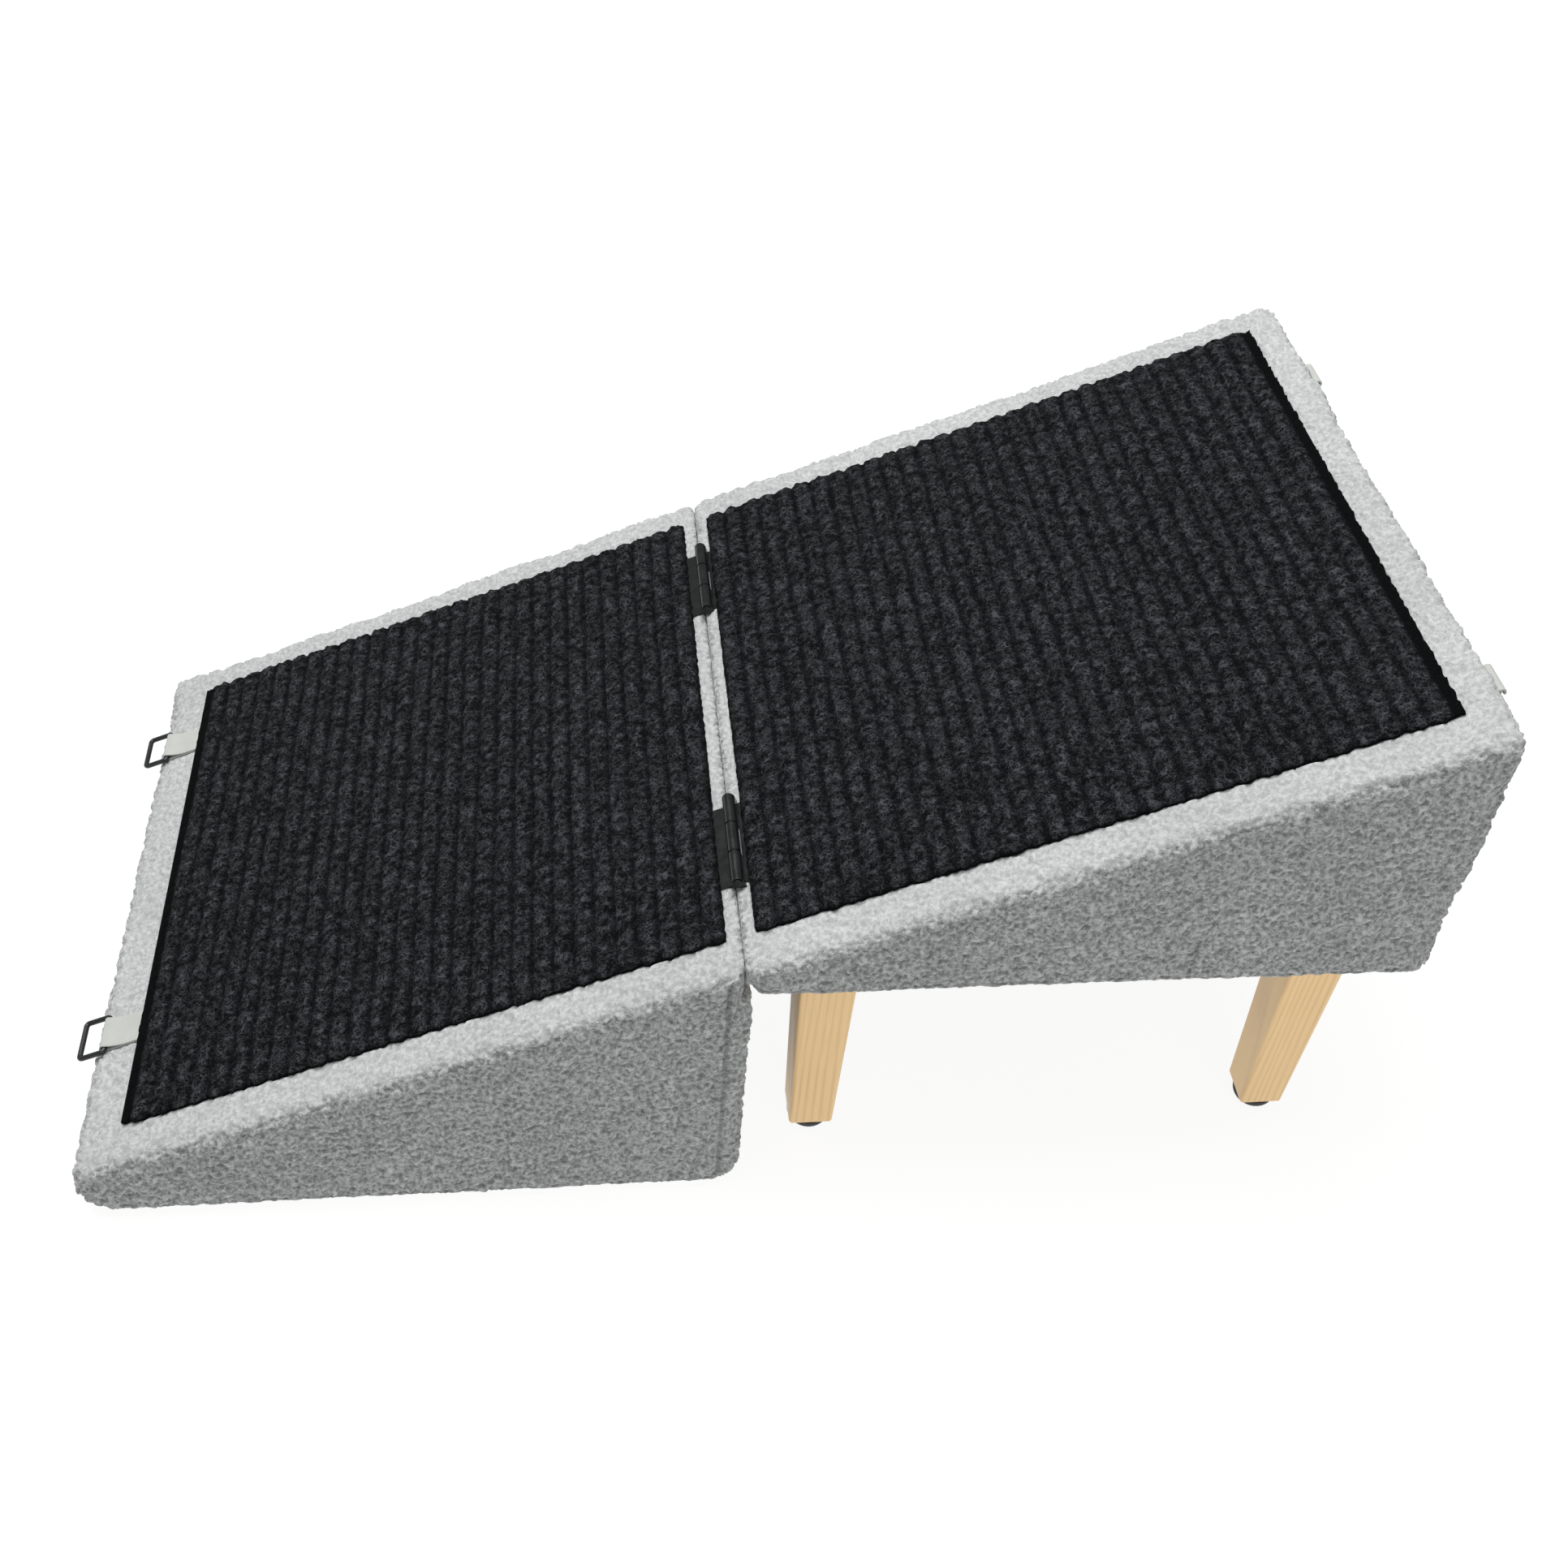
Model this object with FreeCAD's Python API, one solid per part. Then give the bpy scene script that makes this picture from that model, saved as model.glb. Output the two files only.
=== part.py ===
import FreeCAD, Part
import math
import os

# Folding dog ramp: a lower wedge on the floor and an upper wedge on four legs, joined by two butt
# hinges. All sizes in millimetres. X runs up the ramp, Y across it, Z up. The origin is on the floor,
# under the middle of the whole object.

# ---------------------------------------------------------------- driving dimensions
WIDTH = 400.0            # both wedges, across the ramp
TOE_HEIGHT = 33.0        # lower wedge's front edge
SLOPE = math.radians(22.7)
LOWER_LENGTH = 344.4     # lower wedge along the floor
SEAM_GAP = 3.0           # between the two wedges
UPPER_LENGTH = 350.6
UPPER_BASE_Z = 158.0     # underside of the upper wedge
RING_REACH = 9.5         # how far a ring's outer bar reaches past the toe edge, along the slope
STRAP_STAND_OFF = 2.8    # how far a hanging strap's outer face is from the back wall

FLEECE = 4.0             # cover thickness
EDGE_ROUND = 8.0         # fleece edges along the ramp
# corners in side view
TOE_BOTTOM_ROUND = 15.0
TOE_TOP_ROUND = 9.0
LOWER_BACK_ROUND = 19.0
SEAM_ROUND = 4.5         # both wedges' top corners at the seam
UPPER_FRONT_ROUND = 10.0
UPPER_BACK_ROUND = 11.0
BACK_TOP_ROUND = 9.0
FOAM = 12.0              # seat foam on the lower wedge's base
PLY = 9.0                # plywood panels
RAIL_DEPTH = 36.0        # toe and hinge rails, along the ramp
RAIL_DROP = 20.0         # lower wedge's hinge rail, below the ramp board
BORDER = 20.0            # fleece turned in around the upper wedge's base liner
LINER = 1.5
LINER_RECESS = 2.5       # the liner sits this far above the underside

CARPET = 4.2
CARPET_WIDTH = 350.0
LOWER_CARPET = (27.5, 366.5)     # start and end along the slope, from the toe edge
UPPER_CARPET = (5.65, 356.15)    # from the upper wedge's seam face

HINGE_Y = 111.5          # hinge centres, either side
AXIS_RISE = 4.4          # hinge axis above the fleece, square to the slope
BARREL_LENGTH = 62.0
BARREL_RADIUS = 3.4
KNUCKLE_GAP = 1.1
PIN_RADIUS = 1.9
PIN_CLEARANCE = 0.06
PIN_HEAD_RADIUS = 2.6
PIN_HEAD = 1.0
LEAF_LENGTH = 56.0       # along the axis
LEAF_REACH = 32.0        # from the axis
LEAF = 1.6
SCREW_RADIUS = 1.8
SCREW_HEAD_RADIUS = 3.4
SCREW_LENGTH = 18.0
SCREW_SPOTS = ((-20.0, -15.0), (0.0, -24.0), (20.0, -15.0))   # along the axis, and from it

# box screws
BOX_SCREW_OFFSETS = (90.0, 180.0, 270.0)     # along each wedge
BOX_SCREW_LENGTH = 32.0

LEG_FRONT_INSET = 46.1   # leg centres, in from the upper wedge's seam face
LEG_REAR_INSET = 39.5    # and from its back face
LEG_SIDE_INSET = 45.0    # leg centres, in from its side faces
LEG_TOP = 32.0           # square section at the top
LEG_BOTTOM = 24.6
LEG_EDGE = 2.2           # rounded long edges
LEG_END = 2.0            # rounded lower end
PAD_HEIGHT = 8.0
PAD_RADIUS = 12.1
PAD_FLAT = 7.2           # radius of the flat that meets the floor
PAD_WAIST = (11.0, 3.2)  # radius and height of the dome's middle
BOLT_RADIUS = 4.0
BOLT_IN_LEG = 32.0
TNUT_RADIUS = 9.5
TNUT_BARREL = 5.5
TNUT_FLANGE = 1.5
NAIL_RADIUS = 1.3
NAIL_LENGTH = 18.0

RING_YS = (127.0, -108.0)        # centres of the rings and tabs, left and right
STRAP_YS = (127.0, -148.0)       # centres of the straps
WIRE_RADIUS = 1.5
RING_WIDTH = 24.5        # between the centres of a ring's arms
RING_LENGTH = 15.0       # between the centres of its bars
RING_BEND = 1.95         # bend radius of the wire's centre at a corner
WEB = 1.0                # webbing of the tabs
TAB_WIDTH = 20.2
TAB_TAIL = 44.0          # tail's end under the carpet, along the slope
TAB_TAPER = 12.0         # from the ring's bar to where the two layers meet
BAR_CLEARANCE = 0.08
STRAP_WIDTH = 19.0
STRAP = 1.2
STRAP_LENGTH = 128.0
STRAP_ROOT_Z = 316.0
PATCH_DROP = 26.0        # sewn patch below the strap's root
STAPLE_DROPS = (13.0, 21.0)      # staples in the patch, below the root
STAPLE_SETBACKS = (4.0, 9.0)     # staples in the tab, from its tail's end
STAPLE_CROWN = 10.0
STAPLE_LEG = 10.0
STAPLE_WIRE = 0.8

# ---------------------------------------------------------------- derived
TAN = math.tan(SLOPE)
COS = math.cos(SLOPE)
SIN = math.sin(SLOPE)
TOE_X = -(LOWER_LENGTH + SEAM_GAP + UPPER_LENGTH - RING_REACH * COS + STRAP_STAND_OFF) / 2
SEAM_X = TOE_X + LOWER_LENGTH + SEAM_GAP / 2
BACK_X = TOE_X + LOWER_LENGTH + SEAM_GAP + UPPER_LENGTH
LOWER_BACK_X = SEAM_X - SEAM_GAP / 2
UPPER_FRONT_X = SEAM_X + SEAM_GAP / 2
LEG_TOP_Z = UPPER_BASE_Z + LINER_RECESS
HALF = WIDTH / 2
TALL = 2 * WIDTH         # reaches past the top of everything
WOOD_HALF = HALF - FLEECE
SIDES = (("left", 1), ("right", -1))


def ramp_z(x):
    """Height of the fleece's ramp plane at x."""
    return TOE_HEIGHT + (x - TOE_X) * TAN


def slope_frame(x):
    """Placement whose X runs up the slope and Z stands square to it, from the ramp plane at x."""
    turn = FreeCAD.Rotation(FreeCAD.Vector(0, 1, 0), -math.degrees(SLOPE))
    return FreeCAD.Placement(FreeCAD.Vector(x, 0, ramp_z(x)), turn)


TOE_FRAME = slope_frame(TOE_X)
UPPER_FRAME = slope_frame(UPPER_FRONT_X)
AXIS_FRAME = slope_frame(SEAM_X + AXIS_RISE * SIN)      # the axis stands right over the seam


def save(shape, node):
    """Write one node's STEP file."""
    shape.exportStep("parts/" + node + ".step")


def box(x0, x1, y0, y1, z0, z1):
    """Axis-aligned block between two corners."""
    return Part.makeBox(x1 - x0, y1 - y0, z1 - z0, FreeCAD.Vector(x0, y0, z0))


def cylinder(radius, start, end):
    """Round bar from one point to another."""
    a = FreeCAD.Vector(*start)
    along = FreeCAD.Vector(*end) - a
    return Part.makeCylinder(radius, along.Length, a, along)


def placed(shape, frame):
    """A copy of a shape drawn at the origin, moved into a frame."""
    moved = shape.copy()
    moved.Placement = frame.multiply(moved.Placement)
    return moved


def rounded_profile(corners):
    """Closed wire in the XZ plane. corners: (x, z, radius), each corner an arc of that radius."""
    edges = []
    ends = []
    count = len(corners)
    for i, (x, z, radius) in enumerate(corners):
        here = FreeCAD.Vector(x, 0, z)
        before = FreeCAD.Vector(corners[i - 1][0], 0, corners[i - 1][1]) - here
        after = FreeCAD.Vector(corners[(i + 1) % count][0], 0, corners[(i + 1) % count][1]) - here
        before.normalize()
        after.normalize()
        half = before.getAngle(after) / 2
        reach = radius / math.tan(half)
        middle = before + after
        middle.normalize()
        start = here + before * reach
        end = here + after * reach
        waist = here + middle * (radius / math.sin(half) - radius)
        edges.append(Part.Arc(start, waist, end).toShape())
        ends.append((start, end))
    for i in range(count):
        edges.append(Part.makeLine(ends[i - 1][1], ends[i][0]))
    return Part.Wire(Part.__sortEdges__(edges))


def across(corners, y0, y1):
    """Rounded side profile drawn out across the ramp from y0 to y1."""
    wire = rounded_profile(corners)
    wire.translate(FreeCAD.Vector(0, y0, 0))
    return Part.Face(wire).extrude(FreeCAD.Vector(0, y1 - y0, 0))


def plate(points, y0, y1):
    """Sharp-cornered side profile, points (x, z), drawn out across the ramp."""
    wire = Part.makePolygon([FreeCAD.Vector(x, y0, z) for x, z in points + points[:1]])
    return Part.Face(wire).extrude(FreeCAD.Vector(0, y1 - y0, 0))


def lower_body(inset, half):
    """Lower wedge, its faces set in by inset from the fleece's outside."""
    x0 = TOE_X + inset
    x1 = LOWER_BACK_X - inset
    top = inset / COS
    corners = [
        (x0, inset, TOE_BOTTOM_ROUND - inset),
        (x1, inset, LOWER_BACK_ROUND - inset),
        (x1, ramp_z(x1) - top, SEAM_ROUND - inset),
        (x0, ramp_z(x0) - top, TOE_TOP_ROUND - inset),
    ]
    return across(corners, -half, half)


def upper_body(inset, half):
    """Upper wedge, its faces set in by inset from the fleece's outside."""
    x0 = UPPER_FRONT_X + inset
    x1 = BACK_X - inset
    top = inset / COS
    corners = [
        (x0, UPPER_BASE_Z + inset, UPPER_FRONT_ROUND - inset),
        (x1, UPPER_BASE_Z + inset, UPPER_BACK_ROUND - inset),
        (x1, ramp_z(x1) - top, BACK_TOP_ROUND - inset),
        (x0, ramp_z(x0) - top, SEAM_ROUND - inset),
    ]
    return across(corners, -half, half)


def round_sides(solid, radius):
    """Round the edges where the two side faces meet the rest."""
    edges = []
    for face in solid.Faces:
        normal = face.normalAt(0, 0)
        if abs(normal.y) > 0.99:
            edges += face.Edges
    return solid.makeFillet(radius, edges)


def leaf_spots(side):
    """Screw places of one leaf: (y, distance from the axis)."""
    return [(side * HINGE_Y + y, s) for y, s in SCREW_SPOTS]


def screw(y, s, direction):
    """Countersunk hinge screw, its head flush in the leaf. direction: -1 lower leaf, 1 upper."""
    x = -s * direction
    drill = LEAF - SCREW_LENGTH
    shank = cylinder(SCREW_RADIUS, (x, y, drill), (x, y, LEAF))
    rise = SCREW_HEAD_RADIUS - SCREW_RADIUS
    head = Part.makeCone(SCREW_RADIUS, SCREW_HEAD_RADIUS, rise, FreeCAD.Vector(x, y, LEAF - rise))
    return placed(shank.fuse(head), AXIS_FRAME)


def hinge_screws(direction):
    """All six screws of the two leaves on one wedge."""
    solids = []
    for _, side in SIDES:
        for y, s in leaf_spots(side):
            solids.append(screw(y, s, direction))
    return Part.makeCompound(solids)


def knuckle(y0, y1, direction, bore):
    """One knuckle with its web down to the leaf."""
    barrel = cylinder(BARREL_RADIUS, (0, y0, AXIS_RISE), (0, y1, AXIS_RISE))
    edge = direction * BARREL_RADIUS
    web = box(min(0, edge), max(0, edge), y0, y1, 0, AXIS_RISE)
    hole = cylinder(bore, (0, y0 - 1, AXIS_RISE), (0, y1 + 1, AXIS_RISE))
    return barrel.fuse(web).cut(hole)


def hinge_leaf(side, direction):
    """Leaf of a butt hinge: the lower wedge's has the middle knuckle, the upper one's the outer two."""
    centre = side * HINGE_Y
    third = BARREL_LENGTH / 3
    reach = direction * LEAF_REACH
    near = direction * BARREL_RADIUS
    half = LEAF_LENGTH / 2
    leaf = box(min(near, reach), max(near, reach), centre - half, centre + half, 0, LEAF)
    if direction < 0:
        middle = (centre - third / 2 + KNUCKLE_GAP / 2, centre + third / 2 - KNUCKLE_GAP / 2)
        leaf = leaf.fuse(knuckle(middle[0], middle[1], direction, PIN_RADIUS + PIN_CLEARANCE))
    else:
        outer = BARREL_LENGTH / 2
        inner = third / 2 + KNUCKLE_GAP / 2
        for y0, y1 in ((centre - outer, centre - inner), (centre + inner, centre + outer)):
            leaf = leaf.fuse(knuckle(y0, y1, direction, PIN_RADIUS))
    return placed(leaf.removeSplitter(), AXIS_FRAME)


def leaf_pocket(side, direction):
    """Room for a leaf under the carpet."""
    centre = side * HINGE_Y
    half = LEAF_LENGTH / 2
    reach = direction * LEAF_REACH
    room = box(min(0, reach), max(0, reach), centre - half, centre + half, 0, LEAF)
    return placed(room, AXIS_FRAME)


def hinge_pin(side):
    """Pin with a flat head at each end of the barrel."""
    centre = side * HINGE_Y
    half = BARREL_LENGTH / 2
    pin = cylinder(PIN_RADIUS, (0, centre - half, AXIS_RISE), (0, centre + half, AXIS_RISE))
    for end in (-1, 1):
        y = centre + end * half
        head = cylinder(PIN_HEAD_RADIUS, (0, y, AXIS_RISE), (0, y + end * PIN_HEAD, AXIS_RISE))
        pin = pin.fuse(head)
    return placed(pin, AXIS_FRAME)


def ring(y):
    """Rectangular wire ring lying along the slope, its inner bar in the tab."""
    half = RING_WIDTH / 2
    inner = ring_bar_s()
    outer = inner - RING_LENGTH
    rise = ring_rise()
    corners = [(inner, -half), (inner, half), (outer, half), (outer, -half)]
    edges = []
    spots = []
    for i, (s, dy) in enumerate(corners):
        before = corners[i - 1]
        after = corners[(i + 1) % 4]
        here = FreeCAD.Vector(s, y + dy, rise)
        to_before = FreeCAD.Vector(before[0], y + before[1], rise) - here
        to_after = FreeCAD.Vector(after[0], y + after[1], rise) - here
        to_before.normalize()
        to_after.normalize()
        start = here + to_before * RING_BEND
        end = here + to_after * RING_BEND
        centre = start + to_after * RING_BEND
        waist = centre + (here - centre).normalize() * RING_BEND
        edges.append(Part.Arc(start, waist, end).toShape())
        spots.append((start, end))
    for i in range(4):
        edges.append(Part.makeLine(spots[i - 1][1], spots[i][0]))
    path = Part.Wire(Part.__sortEdges__(edges))
    first = path.OrderedEdges[0]
    start = first.valueAt(first.FirstParameter)
    heading = first.tangentAt(first.FirstParameter)
    section = Part.Wire(Part.makeCircle(WIRE_RADIUS, start, heading))
    return placed(path.makePipeShell([section], True, False), TOE_FRAME)


def ring_bar_s():
    """Slope distance of a ring's inner bar from the toe edge."""
    return RING_LENGTH + WIRE_RADIUS - RING_REACH


def ring_rise():
    """Height of a ring's wire centre above the fleece."""
    return WEB + BAR_CLEARANCE + WIRE_RADIUS


def toe_tab(y):
    """Webbing folded round a ring's inner bar, its two layers running back under the carpet."""
    half = TAB_WIDTH / 2
    bar = ring_bar_s()
    rise = ring_rise()
    hole = WIRE_RADIUS + BAR_CLEARANCE
    loop = cylinder(hole + WEB, (bar, y - half, rise), (bar, y + half, rise))
    outline = [
        (bar, rise - hole - WEB),
        (TAB_TAIL, 0),
        (TAB_TAIL, 2 * WEB),
        (bar + TAB_TAPER, 2 * WEB),
        (bar, rise + hole + WEB),
    ]
    taper = plate(outline, y - half, y + half)
    eye = cylinder(hole, (bar, y - WIDTH, rise), (bar, y + WIDTH, rise))
    return placed(loop.fuse(taper).cut(eye).removeSplitter(), TOE_FRAME)


def staple(x, y, z, frame):
    """Wire staple across Y: a crown with two legs, driven down from height z."""
    wide = STAPLE_CROWN / 2
    half = STAPLE_WIRE / 2
    wire = box(x - half, x + half, y - wide, y + wide, z, z + STAPLE_WIRE)
    for y0 in (y - wide, y + wide - STAPLE_WIRE):
        wire = wire.fuse(box(x - half, x + half, y0, y0 + STAPLE_WIRE, z - STAPLE_LEG, z))
    return placed(wire, frame)


def frustum_leg(x, y):
    """Tapered square leg with eased long edges and a rounded lower end."""
    wires = []
    for z, side in ((PAD_HEIGHT, LEG_BOTTOM), (LEG_TOP_Z, LEG_TOP)):
        a = side / 2
        points = [(x - a, y - a), (x + a, y - a), (x + a, y + a), (x - a, y + a)]
        wires.append(Part.makePolygon([FreeCAD.Vector(px, py, z) for px, py in points + points[:1]]))
    leg = Part.makeLoft(wires, True, True)
    long_edges = [e for e in leg.Edges if e.BoundBox.ZLength > LEG_TOP]
    leg = leg.makeFillet(LEG_EDGE, long_edges)
    end_edges = [e for e in leg.Edges if e.BoundBox.ZMax < PAD_HEIGHT + LEG_END]
    return leg.makeFillet(LEG_END, end_edges)


def domed_pad(x, y):
    """Rubber glide: a flat-topped dome, flat where it meets the floor."""
    centre = FreeCAD.Vector(0, 0, 0)
    flat = FreeCAD.Vector(PAD_FLAT, 0, 0)
    waist = FreeCAD.Vector(PAD_WAIST[0], 0, PAD_WAIST[1])
    rim = FreeCAD.Vector(PAD_RADIUS, 0, PAD_HEIGHT)
    top = FreeCAD.Vector(0, 0, PAD_HEIGHT)
    profile = [
        Part.makeLine(centre, flat),
        Part.Arc(flat, waist, rim).toShape(),
        Part.makeLine(rim, top),
        Part.makeLine(top, centre),
    ]
    pad = Part.Face(Part.Wire(profile)).revolve(centre, FreeCAD.Vector(0, 0, 1), 360)
    pad.translate(FreeCAD.Vector(x, y, 0))
    return pad


def under_board(x):
    """Height of the ramp board's underside at x."""
    return ramp_z(x) - (FLEECE + PLY) / COS


def sloped_block(x0, x1, z0, z1, half):
    """Block from x0 to x1 between the heights z0(x) and z1(x), half to either side of the middle."""
    return plate([(x0, z0(x0)), (x1, z0(x1)), (x1, z1(x1)), (x0, z1(x0))], -half, half)


def wedge_box(prefix, front_rail, core, x0, x1, base):
    """Plywood box filling a wedge's core from x0 to x1: name to shape. base: its underside's height."""
    inner_half = WOOD_HALF - PLY
    base_top = base + PLY
    rail_x = x0 + RAIL_DEPTH
    back_x = x1 - PLY
    pieces = {}
    for name, side in SIDES:
        y0 = min(side * inner_half, side * WOOD_HALF)
        pieces[prefix + "_side_" + name] = core.common(box(x0, x1, y0, y0 + PLY, base, TALL))
    inner = core.common(box(x0, x1, -inner_half, inner_half, base, TALL))
    back = box(back_x, x1, -inner_half, inner_half, base_top, under_board(back_x))
    board = sloped_block(x0, x1, under_board, ramp_z, inner_half)
    rail = sloped_block(x0, rail_x, lambda x: base, under_board, inner_half)
    pieces[prefix + "_back_panel"] = inner.common(back)
    pieces[prefix + "_ramp_board"] = inner.common(board).cut(back)
    pieces[front_rail] = inner.common(rail)
    floor = box(rail_x, x1, -inner_half, inner_half, base, base_top)
    pieces[prefix + "_base_board"] = inner.common(floor)
    pieces[prefix + "_rib"] = sloped_block(rail_x, back_x, lambda x: base_top, under_board, PLY / 2)
    return pieces


def lower_box():
    """Plywood box of the lower wedge, with the rail that its hinges screw into."""
    base = FLEECE + FOAM
    x0 = TOE_X + FLEECE
    x1 = LOWER_BACK_X - FLEECE
    core = lower_body(FLEECE, WOOD_HALF)
    pieces = wedge_box("lower", "toe_rail", core, x0, x1, base)
    back_x = x1 - PLY
    rail = sloped_block(
        back_x - RAIL_DEPTH,
        back_x,
        lambda x: under_board(x) - RAIL_DROP,
        under_board,
        WOOD_HALF - PLY,
    )
    pieces["lower_hinge_rail"] = rail
    pieces["lower_rib"] = pieces["lower_rib"].cut(rail)
    return pieces


def upper_box():
    """Plywood box of the upper wedge, its front rail carrying the hinges."""
    base = UPPER_BASE_Z + FLEECE
    core = upper_body(FLEECE, WOOD_HALF)
    x0 = UPPER_FRONT_X + FLEECE
    return wedge_box("upper", "upper_hinge_rail", core, x0, BACK_X - FLEECE, base)


def box_screws(wedge_x, z):
    """Screws through a wedge's side panels into the ends of its base board, at height z."""
    solids = []
    for _, side in SIDES:
        for offset in BOX_SCREW_OFFSETS:
            start = (wedge_x + offset, side * WOOD_HALF, z)
            end = (wedge_x + offset, side * (WOOD_HALF - BOX_SCREW_LENGTH), z)
            solids.append(cylinder(SCREW_RADIUS, start, end))
    return Part.makeCompound(solids)


def drilled(pieces, tools, names):
    """Cut a group of fasteners out of the named pieces."""
    for name in names:
        pieces[name] = pieces[name].cut(tools)


def add_covers(nodes):
    """Fleece covers, closed shells round the boxes, with the seat foam and the upper wedge's liner."""
    seat = lower_body(FLEECE, WOOD_HALF)
    nodes["lower_cover"] = round_sides(lower_body(0, HALF), EDGE_ROUND).cut(seat)
    nodes["seat_foam"] = seat.common(box(TOE_X, SEAM_X, -HALF, HALF, 0, FLEECE + FOAM))
    cavity = upper_body(FLEECE, WOOD_HALF)
    x0 = UPPER_FRONT_X + BORDER
    x1 = BACK_X - BORDER
    half = HALF - BORDER
    top = UPPER_BASE_Z + FLEECE
    window = box(x0, x1, -half, half, UPPER_BASE_Z - FLEECE, top)
    nodes["upper_cover"] = round_sides(upper_body(0, HALF), EDGE_ROUND).cut(cavity).cut(window)
    liner_z = UPPER_BASE_Z + LINER_RECESS
    nodes["base_liner"] = box(x0, x1, -half, half, liner_z, top)


def add_carpets(nodes):
    """Carpets, with room beneath for leaves and tabs."""
    half = CARPET_WIDTH / 2
    lower = placed(box(LOWER_CARPET[0], LOWER_CARPET[1], -half, half, 0, CARPET), TOE_FRAME)
    upper = placed(box(UPPER_CARPET[0], UPPER_CARPET[1], -half, half, 0, CARPET), UPPER_FRAME)
    for _, side in SIDES:
        lower = lower.cut(leaf_pocket(side, -1))
        upper = upper.cut(leaf_pocket(side, 1))
    for y in RING_YS:
        lower = lower.cut(toe_tab(y))
    nodes["lower_carpet"] = lower
    nodes["upper_carpet"] = upper


def add_hinges(nodes):
    """Both hinges and their screws, drilled into what they pass through."""
    for name, side in SIDES:
        nodes["lower_leaf_" + name] = hinge_leaf(side, -1)
        nodes["upper_leaf_" + name] = hinge_leaf(side, 1)
        nodes["hinge_pin_" + name] = hinge_pin(side)
    for wedge, direction in (("lower", -1), ("upper", 1)):
        screws = hinge_screws(direction)
        nodes[wedge + "_hinge_screws"] = screws
        drilled(nodes, screws, [wedge + "_leaf_left", wedge + "_leaf_right"])
        drilled(nodes, screws, [wedge + "_cover", wedge + "_ramp_board", wedge + "_hinge_rail"])
    drilled(nodes, nodes["lower_hinge_screws"], ["lower_back_panel"])


def add_box_screws(nodes):
    """Screws that hold the side panels to the base boards."""
    nodes["lower_box_screws"] = box_screws(TOE_X, FLEECE + FOAM + PLY / 2)
    nodes["upper_box_screws"] = box_screws(SEAM_X, UPPER_BASE_Z + FLEECE + PLY / 2)
    for wedge in ("lower", "upper"):
        parts = [wedge + "_side_left", wedge + "_side_right", wedge + "_base_board"]
        drilled(nodes, nodes[wedge + "_box_screws"], parts)


def add_legs(nodes):
    """Legs with their hanger bolts and T-nuts, and glides with their nails."""
    board_base = UPPER_BASE_Z + FLEECE
    board_top = board_base + PLY
    bolts = []
    tnuts = []
    nails = []
    for end, x in (("front", UPPER_FRONT_X + LEG_FRONT_INSET), ("rear", BACK_X - LEG_REAR_INSET)):
        for name, side in SIDES:
            y = side * (HALF - LEG_SIDE_INSET)
            bolt = cylinder(BOLT_RADIUS, (x, y, LEG_TOP_Z - BOLT_IN_LEG), (x, y, board_top))
            barrel = cylinder(TNUT_BARREL, (x, y, board_base), (x, y, board_top))
            flange = cylinder(TNUT_RADIUS, (x, y, board_top), (x, y, board_top + TNUT_FLANGE))
            nail = cylinder(NAIL_RADIUS, (x, y, PAD_HEIGHT / 2), (x, y, NAIL_LENGTH))
            bolts.append(bolt)
            tnuts.append(barrel.fuse(flange).cut(bolt))
            nails.append(nail)
            nodes["leg_" + end + "_" + name] = frustum_leg(x, y).cut(bolt).cut(nail)
            nodes["glide_" + end + "_" + name] = domed_pad(x, y).cut(nail)
    nodes["leg_bolts"] = Part.makeCompound(bolts)
    nodes["leg_tnuts"] = Part.makeCompound(tnuts)
    nodes["glide_nails"] = Part.makeCompound(nails)
    drilled(nodes, nodes["leg_bolts"], ["base_liner", "upper_base_board", "upper_hinge_rail"])
    drilled(nodes, nodes["leg_tnuts"], ["upper_base_board", "upper_hinge_rail"])


def strap(y):
    """Closing strap hanging down the back wall, rounded where it swings."""
    half = STRAP_WIDTH / 2
    outer = BACK_X + STRAP_STAND_OFF
    middle = outer - STRAP / 2
    body = box(outer - STRAP, outer, y - half, y + half, STRAP_ROOT_Z - STRAP_LENGTH, STRAP_ROOT_Z)
    root = cylinder(STRAP / 2, (middle, y - half, STRAP_ROOT_Z), (middle, y + half, STRAP_ROOT_Z))
    return body.fuse(root).removeSplitter()


def strap_patch(y):
    """The strap's own end, sewn flat to the back wall."""
    half = STRAP_WIDTH / 2
    return box(BACK_X, BACK_X + STRAP, y - half, y + half, STRAP_ROOT_Z - PATCH_DROP, STRAP_ROOT_Z)


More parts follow.
